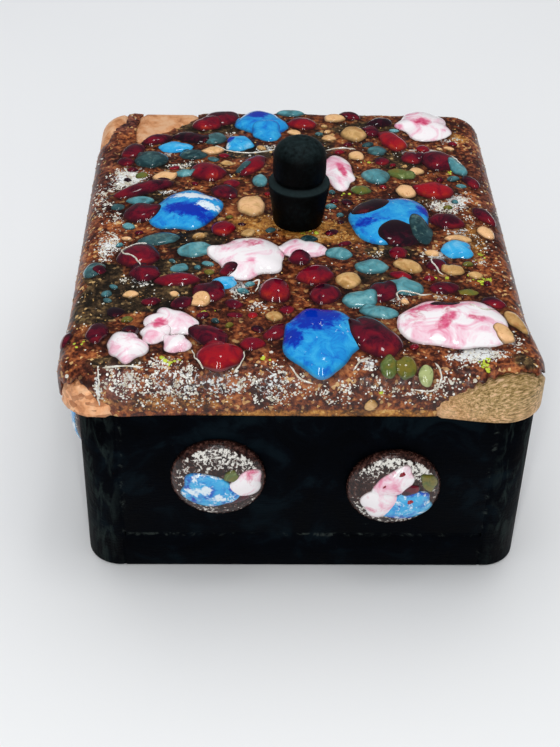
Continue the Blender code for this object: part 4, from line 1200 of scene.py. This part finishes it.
# %% Copper
def make_copper_material():
    material, tree, shader, place = new_material("copper", Metallic=0.42)
    broad = grain(tree, place, 260.0, detail=5.0, roughness=0.65)
    colour = colours(tree, broad, ((0.36, (0.62, 0.25, 0.10)), (0.47, (0.90, 0.43, 0.20)),
                                   (0.60, (0.98, 0.58, 0.33))))
    drawn = stretched(tree, stretched(tree, place, turn=-24), (0.22, 1.0, 1.0))
    scratch = grain(tree, drawn, 2300.0, detail=4.0, roughness=0.75, distortion=0.3)
    scraped = stored(tree, "scraped")
    golden = colours(tree, scratch, ((0.38, (0.16, 0.095, 0.022)), (0.50, (0.50, 0.33, 0.12)),
                                     (0.62, (0.88, 0.58, 0.34))))
    colour = colour_mix(tree, scraped, colour, golden)
    flake = cells(tree, drawn, 900.0)
    torn = maths(tree, "MULTIPLY", stored(tree, "flaked"), flake)
    colour = colour_mix(tree, maths(tree, "MULTIPLY", torn, between(tree, flake, 0.55, 0.9)), colour,
                        (0.42, 0.150, 0.055))
    pits = grain(tree, place, 700.0, detail=5.0, roughness=0.65)
    relief = maths(tree, "MULTIPLY_ADD", scratch, maths(tree, "MULTIPLY", scraped, 1.6), pits)
    relief = maths(tree, "MULTIPLY_ADD", torn, -2.5, relief)
    finish(tree, shader, colour, relief, 0.7, 0.0003, between(tree, broad, 0.3, 0.7, 0.38, 0.55))
    return material


copper = make_copper_material()
print("nodes in the copper:", len(copper.node_tree.nodes))

# %% [markdown]
# ## The copper pan
# The pan is a second shell on the coat's sheet, so it fits under the coat everywhere. It stands a little
# prouder where it is bare, which keeps the chips shallow. At the near left it is crumpled in small steps,
# like torn foil.

# %% The copper pan
PAN_PITCH = 0.0009
PROUD = 0.0008
SCRAPED = ((46, -60, 24, 16, 20, 1.0),)
FLAKED = ((-48, -63, 14, 9, -30, 1.0),)
CRUMPLE = 0.00045
CRUMPLE_STEPS = 3


def make_pan():
    bm = flat_shell(PAN_PITCH, SHEET_CORNER, chipped=False)
    piece = add_piece("lid_copper", bm, [copper])
    flat = places(piece.data)
    s, t = flat[:, 0], flat[:, 1]
    outer = flat[:, 2] > (INNER + OUTER) / 2
    flaked = dabbed(s, t, FLAKED)
    steps = ripple(s, t, 0.0030, 9.0) + 0.5 * ripple(s, t, 0.0011, 2.0)
    crumple = flaked * CRUMPLE * np.round(steps * CRUMPLE_STEPS) / CRUMPLE_STEPS
    bared = PROUD * eased(-chip_distance(s, t) / CHIP_TAPER)
    lift = -COAT - GAP + np.where(outer, crumple + bared, -COPPER)
    set_places(piece.data, wrap(s, t, lift, 0.0))
    set_values(piece.data, "scraped", dabbed(s, t, SCRAPED))
    set_values(piece.data, "flaked", flaked)
    return piece


lid_copper = make_pan()
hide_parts("lid_pan")
print("copper faces:", len(lid_copper.data.polygons))

# %% [markdown]
# ## Black paint
# The wooden walls are brushed with a satin black paint. Its patchy black is lightened to blue-grey in
# places, and that blue-grey is a painted reflection of the bright surroundings, since the paint's own
# reflection is kept very weak. It hides the grain of the wood, but its brush marks, rubbed corners and
# scuffed joints catch the light. The wear follows the box's own lines, so it is found from a point's
# place: how near it lies to a joint or a corner.

# %% Black paint
SEAM_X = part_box("front_panel")[1].x
SEAM_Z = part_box("base_board")[1].z


def near_line(tree, value, line, inner, outer):
    """1 close to a straight line where a coordinate has a given size, fading to 0."""
    away = maths(tree, "SUBTRACT", maths(tree, "ABSOLUTE", value), line)
    return between(tree, maths(tree, "ABSOLUTE", away), inner, outer, 1.0, 0.0)


def make_paint():
    material, tree, shader, place = new_material("black_paint", Specular_IOR_Level=0.016)
    strokes = grain(tree, stretched(tree, place, (0.2, 0.2, 1.0)), 1500.0, detail=4.0, roughness=0.65)
    upright = stretched(tree, place, (1.0, 1.0, 0.30))
    worn = grain(tree, upright, 420.0, detail=5.0, roughness=0.65, distortion=0.6)
    patches = grain(tree, place, 75.0, detail=5.0, roughness=0.6, distortion=0.8)
    # Painted reflection: the lighter blue-grey patches stand for the bright surroundings mirrored in the
    # satin paint.
    colour = colours(tree, patches, ((0.36, (0.0003, 0.0006, 0.0014)), (0.52, (0.0006, 0.0013, 0.0027)),
                                     (0.62, (0.0022, 0.0052, 0.0080)), (0.74, (0.0030, 0.0068, 0.0095))))
    spot = parted(tree, place)
    side = between(tree, maths(tree, "ABSOLUTE", spot["X"]), SEAM_X, SEAM_X + 4 * MM)
    turned = between(tree, maths(tree, "ABSOLUTE", spot["Y"]), WALL_Y - 14 * MM, WALL_Y - 7 * MM, 0.15, 1.0)
    side = maths(tree, "MULTIPLY", side, turned)
    rubbed = maths(tree, "MULTIPLY", side, between(tree, worn, 0.50, 0.62))
    colour = colour_mix(tree, maths(tree, "MULTIPLY", rubbed, 0.75), colour, (0.015, 0.023, 0.022))
    wall = between(tree, maths(tree, "ABSOLUTE", spot["X"]), SEAM_X - MM, SEAM_X, 1.0, 0.0)
    low_seam = maths(tree, "MULTIPLY", wall, near_line(tree, spot["Z"], SEAM_Z, 0.0002, 0.0007))
    end = between(tree, maths(tree, "ABSOLUTE", spot["Y"]), WALL_Y - 3 * MM, WALL_Y - 2 * MM)
    seam = maths(tree, "MULTIPLY", end, maths(tree, "MAXIMUM", low_seam,
                                              near_line(tree, spot["X"], SEAM_X, 0.0002, 0.0008)))
    fine = grain(tree, place, 260.0, detail=6.0, roughness=0.72, distortion=1.5)
    scuff = maths(tree, "MAXIMUM", maths(tree, "MULTIPLY", seam, between(tree, fine, 0.54, 0.66)),
                  between(tree, fine, 0.70, 0.74))
    colour = colour_mix(tree, maths(tree, "MULTIPLY", scuff, 0.6), colour, (0.050, 0.062, 0.056))
    relief = maths(tree, "MULTIPLY_ADD", patches, 2.0, maths(tree, "MULTIPLY_ADD", worn, 1.5, strokes))
    finish(tree, shader, colour, relief, 0.45, 0.0003, between(tree, patches, 0.35, 0.65, 0.40, 0.58))
    return material


black_paint = make_paint()
print("nodes in the paint:", len(black_paint.node_tree.nodes))

# %% [markdown]
# ## The boards
# The boards keep the shapes of the solids, shaded smooth round their corners. On the real box paint has
# closed the joints. So the boards between the sides are widened by a hair, and thin bars of paint nearly
# fill what is left of each joint, so that only a fine line shows.

# %% The boards
BOARDS = ("side_left", "side_right", "front_panel", "back_panel", "base_board")
SMOOTH_TURN = math.radians(30)
PAINT_CRACK = 0.00003
JOINT_FILL = 0.0011
JOINT_SUNK = 0.00007


def make_board(board):
    """A copy of a solid board, shaded smooth at its corners and closed up where paint bridges the joints."""
    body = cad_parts[board]
    bm = bmesh.new()
    bm.from_mesh(body.data)
    bm.transform(body.matrix_world)
    bmesh.ops.remove_doubles(bm, verts=bm.verts, dist=MM / 100)
    if not board.startswith("side"):
        bmesh.ops.scale(bm, vec=((SEAM_X + GAP - PAINT_CRACK) / SEAM_X, 1, 1), verts=bm.verts)
    piece = add_piece(board + "_painted", bm, [black_paint])
    piece.data.set_sharp_from_angle(angle=SMOOTH_TURN)
    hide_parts(board)


def make_bars(name, bars):
    """Closed bars, each from one corner to the opposite one."""
    whole = bmesh.new()
    for low, high in bars:
        bm = bmesh.new()
        bmesh.ops.create_cube(bm, size=1.0)
        low, high = Vector(low), Vector(high)
        bmesh.ops.scale(bm, vec=high - low, verts=bm.verts)
        bmesh.ops.translate(bm, vec=(low + high) / 2, verts=bm.verts)
        merge(whole, bm)
    add_piece(name, whole, [black_paint], smooth=False)


def joint_bars():
    """Where paint ran into the joints of both end walls and nearly filled them."""
    low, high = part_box("front_panel")
    half = JOINT_FILL / 2
    bars = []
    for side in (-1, 1):
        face = side * (-low.y - JOINT_SUNK)
        deep = side * (-low.y - JOINT_FILL)
        y0, y1 = min(face, deep), max(face, deep)
        for x in (-1, 1):
            middle = x * (SEAM_X + GAP / 2)
            bars.append(((middle - half, y0, MM / 2), (middle + half, y1, high.z - MM / 2)))
        bars.append(((-SEAM_X, y0, SEAM_Z + GAP / 2 - half), (SEAM_X, y1, SEAM_Z + GAP / 2 + half)))
    return bars


for board in BOARDS:
    make_board(board)
make_bars("joint_paint", joint_bars())
print("painted:", ", ".join(BOARDS))

# %% [markdown]
# ## The knob
# A turned wooden knob: a foot that widens to a shoulder, a narrow ledge, and a cap with a low dome.
# Spinning its profile round the axis is how it was made on the lathe too. Its matt paint is thick and a
# little rough. A painted highlight lightens its top and its ledge.

# %% The knob's paint
# Heights over the foot where the painted highlight on the ledge fades in, is full, ends and has faded
# out, in millimetres
KNOB_LEDGE_HIGHLIGHT = (10.2, 10.8, 11.2, 11.6)


def make_knob_material():
    material, tree, shader, place = new_material("knob_paint", Specular_IOR_Level=0.05)
    coarse = grain(tree, place, 900.0, detail=6.0, roughness=0.7)
    broad = grain(tree, place, 160.0, detail=3.0)
    tone = swayed(tree, coarse, broad, 0.5)
    colour = colours(tree, tone, ((0.38, (0.0003, 0.0006, 0.0006)), (0.52, (0.0007, 0.0013, 0.0014)),
                                  (0.66, (0.0022, 0.0042, 0.0046))))
    # Painted highlight: the faces that look upwards are lightened to blue-grey.
    facing = parted(tree, add(tree, "ShaderNodeNewGeometry").outputs["Normal"])["Z"]
    top_highlight = between(tree, facing, 0.25, 0.95, 0.0, 0.75)
    top_highlight = maths(tree, "MULTIPLY", top_highlight, between(tree, coarse, 0.25, 0.62))
    colour = colour_mix(tree, top_highlight, colour, (0.016, 0.029, 0.031))
    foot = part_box("knob")[0].z
    # Painted highlight on the ledge, where its rim catches the light.
    ledge = window(tree, parted(tree, place)["Z"], *(foot + height * MM for height in KNOB_LEDGE_HIGHLIGHT))
    colour = colour_mix(tree, maths(tree, "MULTIPLY", ledge, 0.5), colour, (0.020, 0.034, 0.036))
    finish(tree, shader, colour, coarse, 0.5, 0.0002, between(tree, coarse, 0.35, 0.65, 0.42, 0.6))
    return material


knob_paint = make_knob_material()
print("nodes in the knob's paint:", len(knob_paint.node_tree.nodes))

# %% The knob
# Distances from the axis and heights over the foot, and then the cap's dome
KNOB_PROFILE = ((0.0060, 0.0), (0.00745, 0.0103), (0.00738, 0.0106), (0.00695, 0.0108), (0.0060, 0.01125),
                (0.00582, 0.0116), (0.00586, 0.0120), (0.00622, 0.0124), (0.00634, 0.0130),
                (0.00638, 0.0150), (0.00635, 0.0173))
KNOB_DOME = 0.0046
KNOB_DOME_STEPS = 14
KNOB_DOME_POWER = 0.8
KNOB_STEPS = 96
KNOB_SHARP = math.radians(38)


def make_knob():
    low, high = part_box("knob")
    middle = (low + high) / 2
    radius, straight = KNOB_PROFILE[-1]
    profile = [(0.0, 0.0)] + list(KNOB_PROFILE)
    for step in range(1, KNOB_DOME_STEPS):
        turn = math.radians(90 * step / KNOB_DOME_STEPS)
        profile.append((radius * math.cos(turn) ** KNOB_DOME_POWER, straight + KNOB_DOME * math.sin(turn)))
    profile.append((0.0, straight + KNOB_DOME))
    bm = bmesh.new()
    verts = [bm.verts.new((x, 0.0, z)) for x, z in profile]
    lines = [bm.edges.new(pair) for pair in zip(verts, verts[1:])]
    bmesh.ops.spin(bm, geom=verts + lines, cent=(0, 0, 0), axis=(0, 0, 1), angle=math.tau, steps=KNOB_STEPS,
                   use_merge=True)
    bmesh.ops.remove_doubles(bm, verts=bm.verts, dist=MM / 100)
    bmesh.ops.recalc_face_normals(bm, faces=bm.faces)
    bmesh.ops.translate(bm, vec=(middle.x, middle.y, low.z), verts=bm.verts)
    return add_piece("turned_knob", bm, [knob_paint])


knob = make_knob()
knob.data.set_sharp_from_angle(angle=KNOB_SHARP)
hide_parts("knob")
print("knob faces:", len(knob.data.polygons))

# %% [markdown]
# ## The discs
# Each wall carries two domed discs, small enamels of their own: a brown ground with a dark border, white
# grains that lie thickest in the upper half, and a few blobs of blue and rose glass. The discs that the
# photograph shows have blobs of their own, and the others share three plain sets.

# %% Blobs of the discs
# For each disc: blobs as across, up, half length, half width, turn, height, glass, in shares of the radius
DISC_BLOBS = {
    "medallion_front_left": (
        (-0.18, -0.16, 0.64, 0.46, -14, 0.13, "sky"), (0.60, 0.02, 0.32, 0.38, -35, 0.13, "rose"),
        (0.28, 0.26, 0.16, 0.16, 0, 0.06, "green"), (0.48, -0.36, 0.26, 0.12, 30, 0.07, "dark red"),
    ),
    "medallion_front_right": (
        (0.30, -0.34, 0.58, 0.42, 15, 0.12, "sky"), (-0.02, 0.34, 0.50, 0.30, 38, 0.13, "rose"),
        (-0.30, -0.26, 0.40, 0.40, 0, 0.13, "rose"), (0.30, 0.16, 0.22, 0.17, 0, 0.08, "dark red"),
        (0.72, 0.30, 0.16, 0.26, 30, 0.06, "olive"), (0.34, -0.14, 0.12, 0.09, 30, 0.13, "bright red"),
        (0.12, 0.60, 0.11, 0.07, 30, 0.13, "bright red"), (-0.22, 0.30, 0.12, 0.06, 50, 0.12, "bright red"),
    ),
    "medallion_left_near": (
        (0.38, 0.02, 0.54, 0.74, 0, 0.10, "sky"), (-0.40, 0.30, 0.36, 0.30, 20, 0.10, "rose"),
        (-0.36, -0.38, 0.30, 0.24, 0, 0.08, "blue"),
    ),
}
PLAIN_BLOBS = (
    ((0.05, -0.10, 0.66, 0.52, 20, 0.12, "blue"), (-0.42, 0.40, 0.24, 0.20, 0, 0.08, "rose"),
     (0.45, 0.45, 0.18, 0.14, 30, 0.06, "dark red")),
    ((-0.22, 0.08, 0.52, 0.46, -30, 0.12, "rose"), (0.42, -0.22, 0.30, 0.26, 10, 0.10, "blue"),
     (0.20, 0.48, 0.20, 0.14, 0, 0.06, "green")),
    ((0.0, 0.05, 0.58, 0.40, 50, 0.12, "teal"), (0.32, -0.42, 0.22, 0.20, 0, 0.08, "dark red"),
     (-0.45, -0.30, 0.24, 0.20, 0, 0.08, "rose")),
)
print("discs with blobs of their own:", len(DISC_BLOBS))

# %% [markdown]
# ## Laying out a disc
# A disc is made flat, like the lid, and then stood against its wall. So it needs a small frame of its own:
# a middle, and the directions across, up and outwards. They come from the solid disc's box, which is
# thinnest along the way that the disc faces. The grains on it are only a pattern, since they are too small
# to stand out.

# %% Laying out a disc
def disc_frame(node):
    """The disc's middle on its wall, its radius and rise, and the directions across, up and outwards."""
    low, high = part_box(node)
    middle, size = (low + high) / 2, high - low
    if size.y < size.x:
        outward = Vector((0, math.copysign(1, middle.y), 0))
    else:
        outward = Vector((math.copysign(1, middle.x), 0, 0))
    rise = min(size.x, size.y)
    up = Vector((0, 0, 1))
    return middle - outward * rise / 2, size.z / 2, rise, up.cross(outward), up, outward


def make_disc_material():
    material, tree, shader, place = new_material("disc_ground", Coat_Weight=0.2, Coat_Roughness=0.05,
                                                 Specular_IOR_Level=0.3)
    mottle = grain(tree, place, 1300.0, detail=4.0, roughness=0.65)
    colour = colours(tree, mottle, ((0.36, (0.006, 0.003, 0.003)), (0.52, (0.034, 0.012, 0.009)),
                                    (0.68, (0.15, 0.07, 0.055))))
    white = stain(tree, stored(tree, "frit"), 1300.0, 0.10, 0.66, 1.7)
    colour = colour_mix(tree, white, colour, (0.74, 0.72, 0.66))
    rough = maths(tree, "MULTIPLY_ADD", white, 0.2, 0.14)
    finish(tree, shader, colour, maths(tree, "MULTIPLY_ADD", white, 1.2, mottle), 0.45, 0.0002, rough)
    return material


disc_ground = make_disc_material()
print("nodes in the discs' ground:", len(disc_ground.node_tree.nodes))

# %% The discs
DISC_EDGE = 0.0008
DISC_STEPS = 72
DISC_RINGS = 44
BLOB_STEPS = 40
DISC_VALUES = ("frit", *GLASS_VALUES)
DISC_FULLNESS = 0.8
DISC_SHOULDER = 2.6
DISC_WAVE = (0.00010, 0.0025)
BLOB_KEEL = 0.0003
BLOB_RISE = 0.6
BLOB_FLATNESS = 2.4
DISC_SEED_STEP = 3.1


def make_disc(node, blobs, seed):
    base, radius, rise, across, up, outward = disc_frame(node)

    def stand(x, y, z):
        return [base + across * a + up * b + outward * c for a, b, c in zip(x, y, z)]

    def ground(x, y):
        share = np.minimum(np.hypot(x, y) / radius, 1.0)
        dome = np.sqrt(np.clip(1 - share ** DISC_SHOULDER, 0, 1))
        return DISC_EDGE + (rise - DISC_EDGE) * DISC_FULLNESS * dome

    whole = bmesh.new()
    ball = Ball(DISC_STEPS, DISC_RINGS, DISC_VALUES)
    x, y = ball.x * radius, ball.y * radius
    wavy = DISC_WAVE[0] * ripple(x, y, DISC_WAVE[1], seed)
    z = np.where(ball.upper, ground(x, y) + wavy * (1 - ball.share), 0.0)
    higher = np.clip(ball.y, 0, 1)
    patchy = ripple(x, y, 0.005, seed + 4)
    frit = np.clip(0.34 + 0.40 * ball.share ** 2 + 0.34 * higher + 0.40 * patchy, 0, 1)
    frit *= 1 - eased((ball.share - 0.88) / 0.10)
    ball.settle(whole, stand(x, y, z), {"frit": frit})
    for number, (dx, dy, length, width, turn, height, glass) in enumerate(blobs):
        family, shade = GLASSES[glass]
        ball = Ball(BLOB_STEPS, BLOB_STEPS // 2, DISC_VALUES)
        angle, share = ball.angle, ball.share
        wavy = 1 + 0.10 * np.cos(3 * angle + seed + number) + 0.05 * np.cos(5 * angle - seed)
        cos, sin = math.cos(math.radians(turn)), math.sin(math.radians(turn))
        u, v = length * np.cos(angle) * share * wavy, width * np.sin(angle) * share * wavy
        x, y = radius * (dx + u * cos - v * sin), radius * (dy + u * sin + v * cos)
        dome = height * radius * BLOB_RISE * (1 - share ** BLOB_FLATNESS) ** SHOULDER
        z = np.minimum(ground(x, y) + np.where(ball.upper, dome, -BLOB_KEEL), rise)
        values = {
            "shade": shade,
            "core": 1 - share,
            "deep": np.clip(0.8 * ripple(x, y, 0.0028, seed + 1.5) + 0.20 - 0.06 * number, 0, 1),
            "milk": np.clip(0.8 * ripple(x, y, 0.0022, seed + 8.5) + 0.28, 0, 1),
        }
        ball.settle(whole, stand(x, y, z), values, 1 + FAMILIES.index(family))
    bmesh.ops.recalc_face_normals(whole, faces=whole.faces)
    materials = [disc_ground] + [glasses[family] for family in FAMILIES]
    piece = add_piece(node.replace("medallion", "disc"), whole, materials)
    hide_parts(node)
    return piece


discs = sorted(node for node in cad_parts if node.startswith("medallion"))
for number, node in enumerate(discs):
    blobs = DISC_BLOBS.get(node, PLAIN_BLOBS[number % len(PLAIN_BLOBS)])
    make_disc(node, blobs, seed=number * DISC_SEED_STEP)
print("discs:", len(discs))

# %% [markdown]
# ## Floor and light
# A plain pale floor and soft light from above, as in a small photo tent. Two tall narrow strips near the
# camera give the upright glints that show on every dome of glass, and a small panel above gives the knob
# and the lumps a glint on top. The world's light is weaker in reflections and stronger behind the box,
# since a tent's walls are bright but the glass mirrors mostly its dark opening.

# %% Floor and light
FLOOR_SIZE = 4.0
# What the lights are aimed at
AIM = Vector((0, 0, 0.05))
# Name, place, width and length, watts, and whether the glass mirrors it
LIGHTS = (
    ("overhead", (0.0, 0.16, 0.75), (0.9, 0.9), 4.5, False),
    ("strip_left", (-0.13, -0.60, 0.34), (0.034, 0.60), 1.1, True),
    ("strip_right", (0.06, -0.60, 0.34), (0.020, 0.60), 0.7, True),
    ("top_glint", (0.06, -0.02, 0.70), (0.12, 0.08), 0.28, True),
)
WORLD_STRENGTH = 0.38
WORLD_MIRRORED = 0.30
WORLD_BEHIND = 0.80


def make_floor():
    bm = bmesh.new()
    bmesh.ops.create_grid(bm, x_segments=1, y_segments=1, size=FLOOR_SIZE / 2)
    mesh = bpy.data.meshes.new("floor")
    bm.to_mesh(mesh)
    bm.free()
    floor = bpy.data.objects.new("floor", mesh)
    bpy.context.scene.collection.objects.link(floor)
    material, tree, shader, place = new_material("pale_floor", Roughness=0.6, Specular_IOR_Level=0.3)
    soft = grain(tree, place, 3.0, detail=2.0)
    colour = colours(tree, soft, ((0.3, (0.80, 0.81, 0.82)), (0.7, (0.83, 0.84, 0.84))))
    tree.links.new(colour, shader.inputs["Base Color"])
    mesh.materials.append(material)
    return floor


def make_light(name, place, size, watts, mirrored):
    """An area light aimed at the box."""
    lamp = bpy.data.lights.new(name, "AREA")
    lamp.shape = "RECTANGLE"
    lamp.size, lamp.size_y = size
    lamp.energy = watts
    light = bpy.data.objects.new(name, lamp)
    light.location = place
    light.rotation_euler = (AIM - Vector(place)).to_track_quat("-Z", "Y").to_euler()
    light.visible_glossy = mirrored
    bpy.context.scene.collection.objects.link(light)


make_floor()
for row in LIGHTS:
    make_light(*row)
world = bpy.data.worlds.new("studio")
world.use_nodes = True
tree = world.node_tree
backdrop = tree.nodes["Background"].inputs
backdrop["Color"].default_value = (0.93, 0.95, 1.0, 1.0)
rays = add(tree, "ShaderNodeLightPath").outputs
dimmed = between(tree, rays["Is Glossy Ray"], 0.0, 1.0, WORLD_STRENGTH, WORLD_STRENGTH * WORLD_MIRRORED)
behind = maths(tree, "MULTIPLY", rays["Is Camera Ray"], WORLD_BEHIND)
tree.links.new(maths(tree, "MAXIMUM", dimmed, behind), backdrop["Strength"])
bpy.context.scene.world = world
print("lights:", len(LIGHTS))

# %% [markdown]
# ## Finish
# A piece with too many triangles is slow to show, so they are counted. The dressed part must not grow past
# the plain solids, since other parts are fitted to those.

# %% Finish
shown = [piece for piece in bpy.context.scene.objects if piece.type == "MESH" and not piece.hide_render]
meshes = {piece.data for piece in shown}
counts = {mesh.name: sum(len(face.vertices) - 2 for face in mesh.polygons) for mesh in meshes}
print("most triangles in a piece:", max(counts.values()), "and in all:", sum(counts.values()))


def plain(corners):
    return [[float(value) for value in corner] for corner in corners]
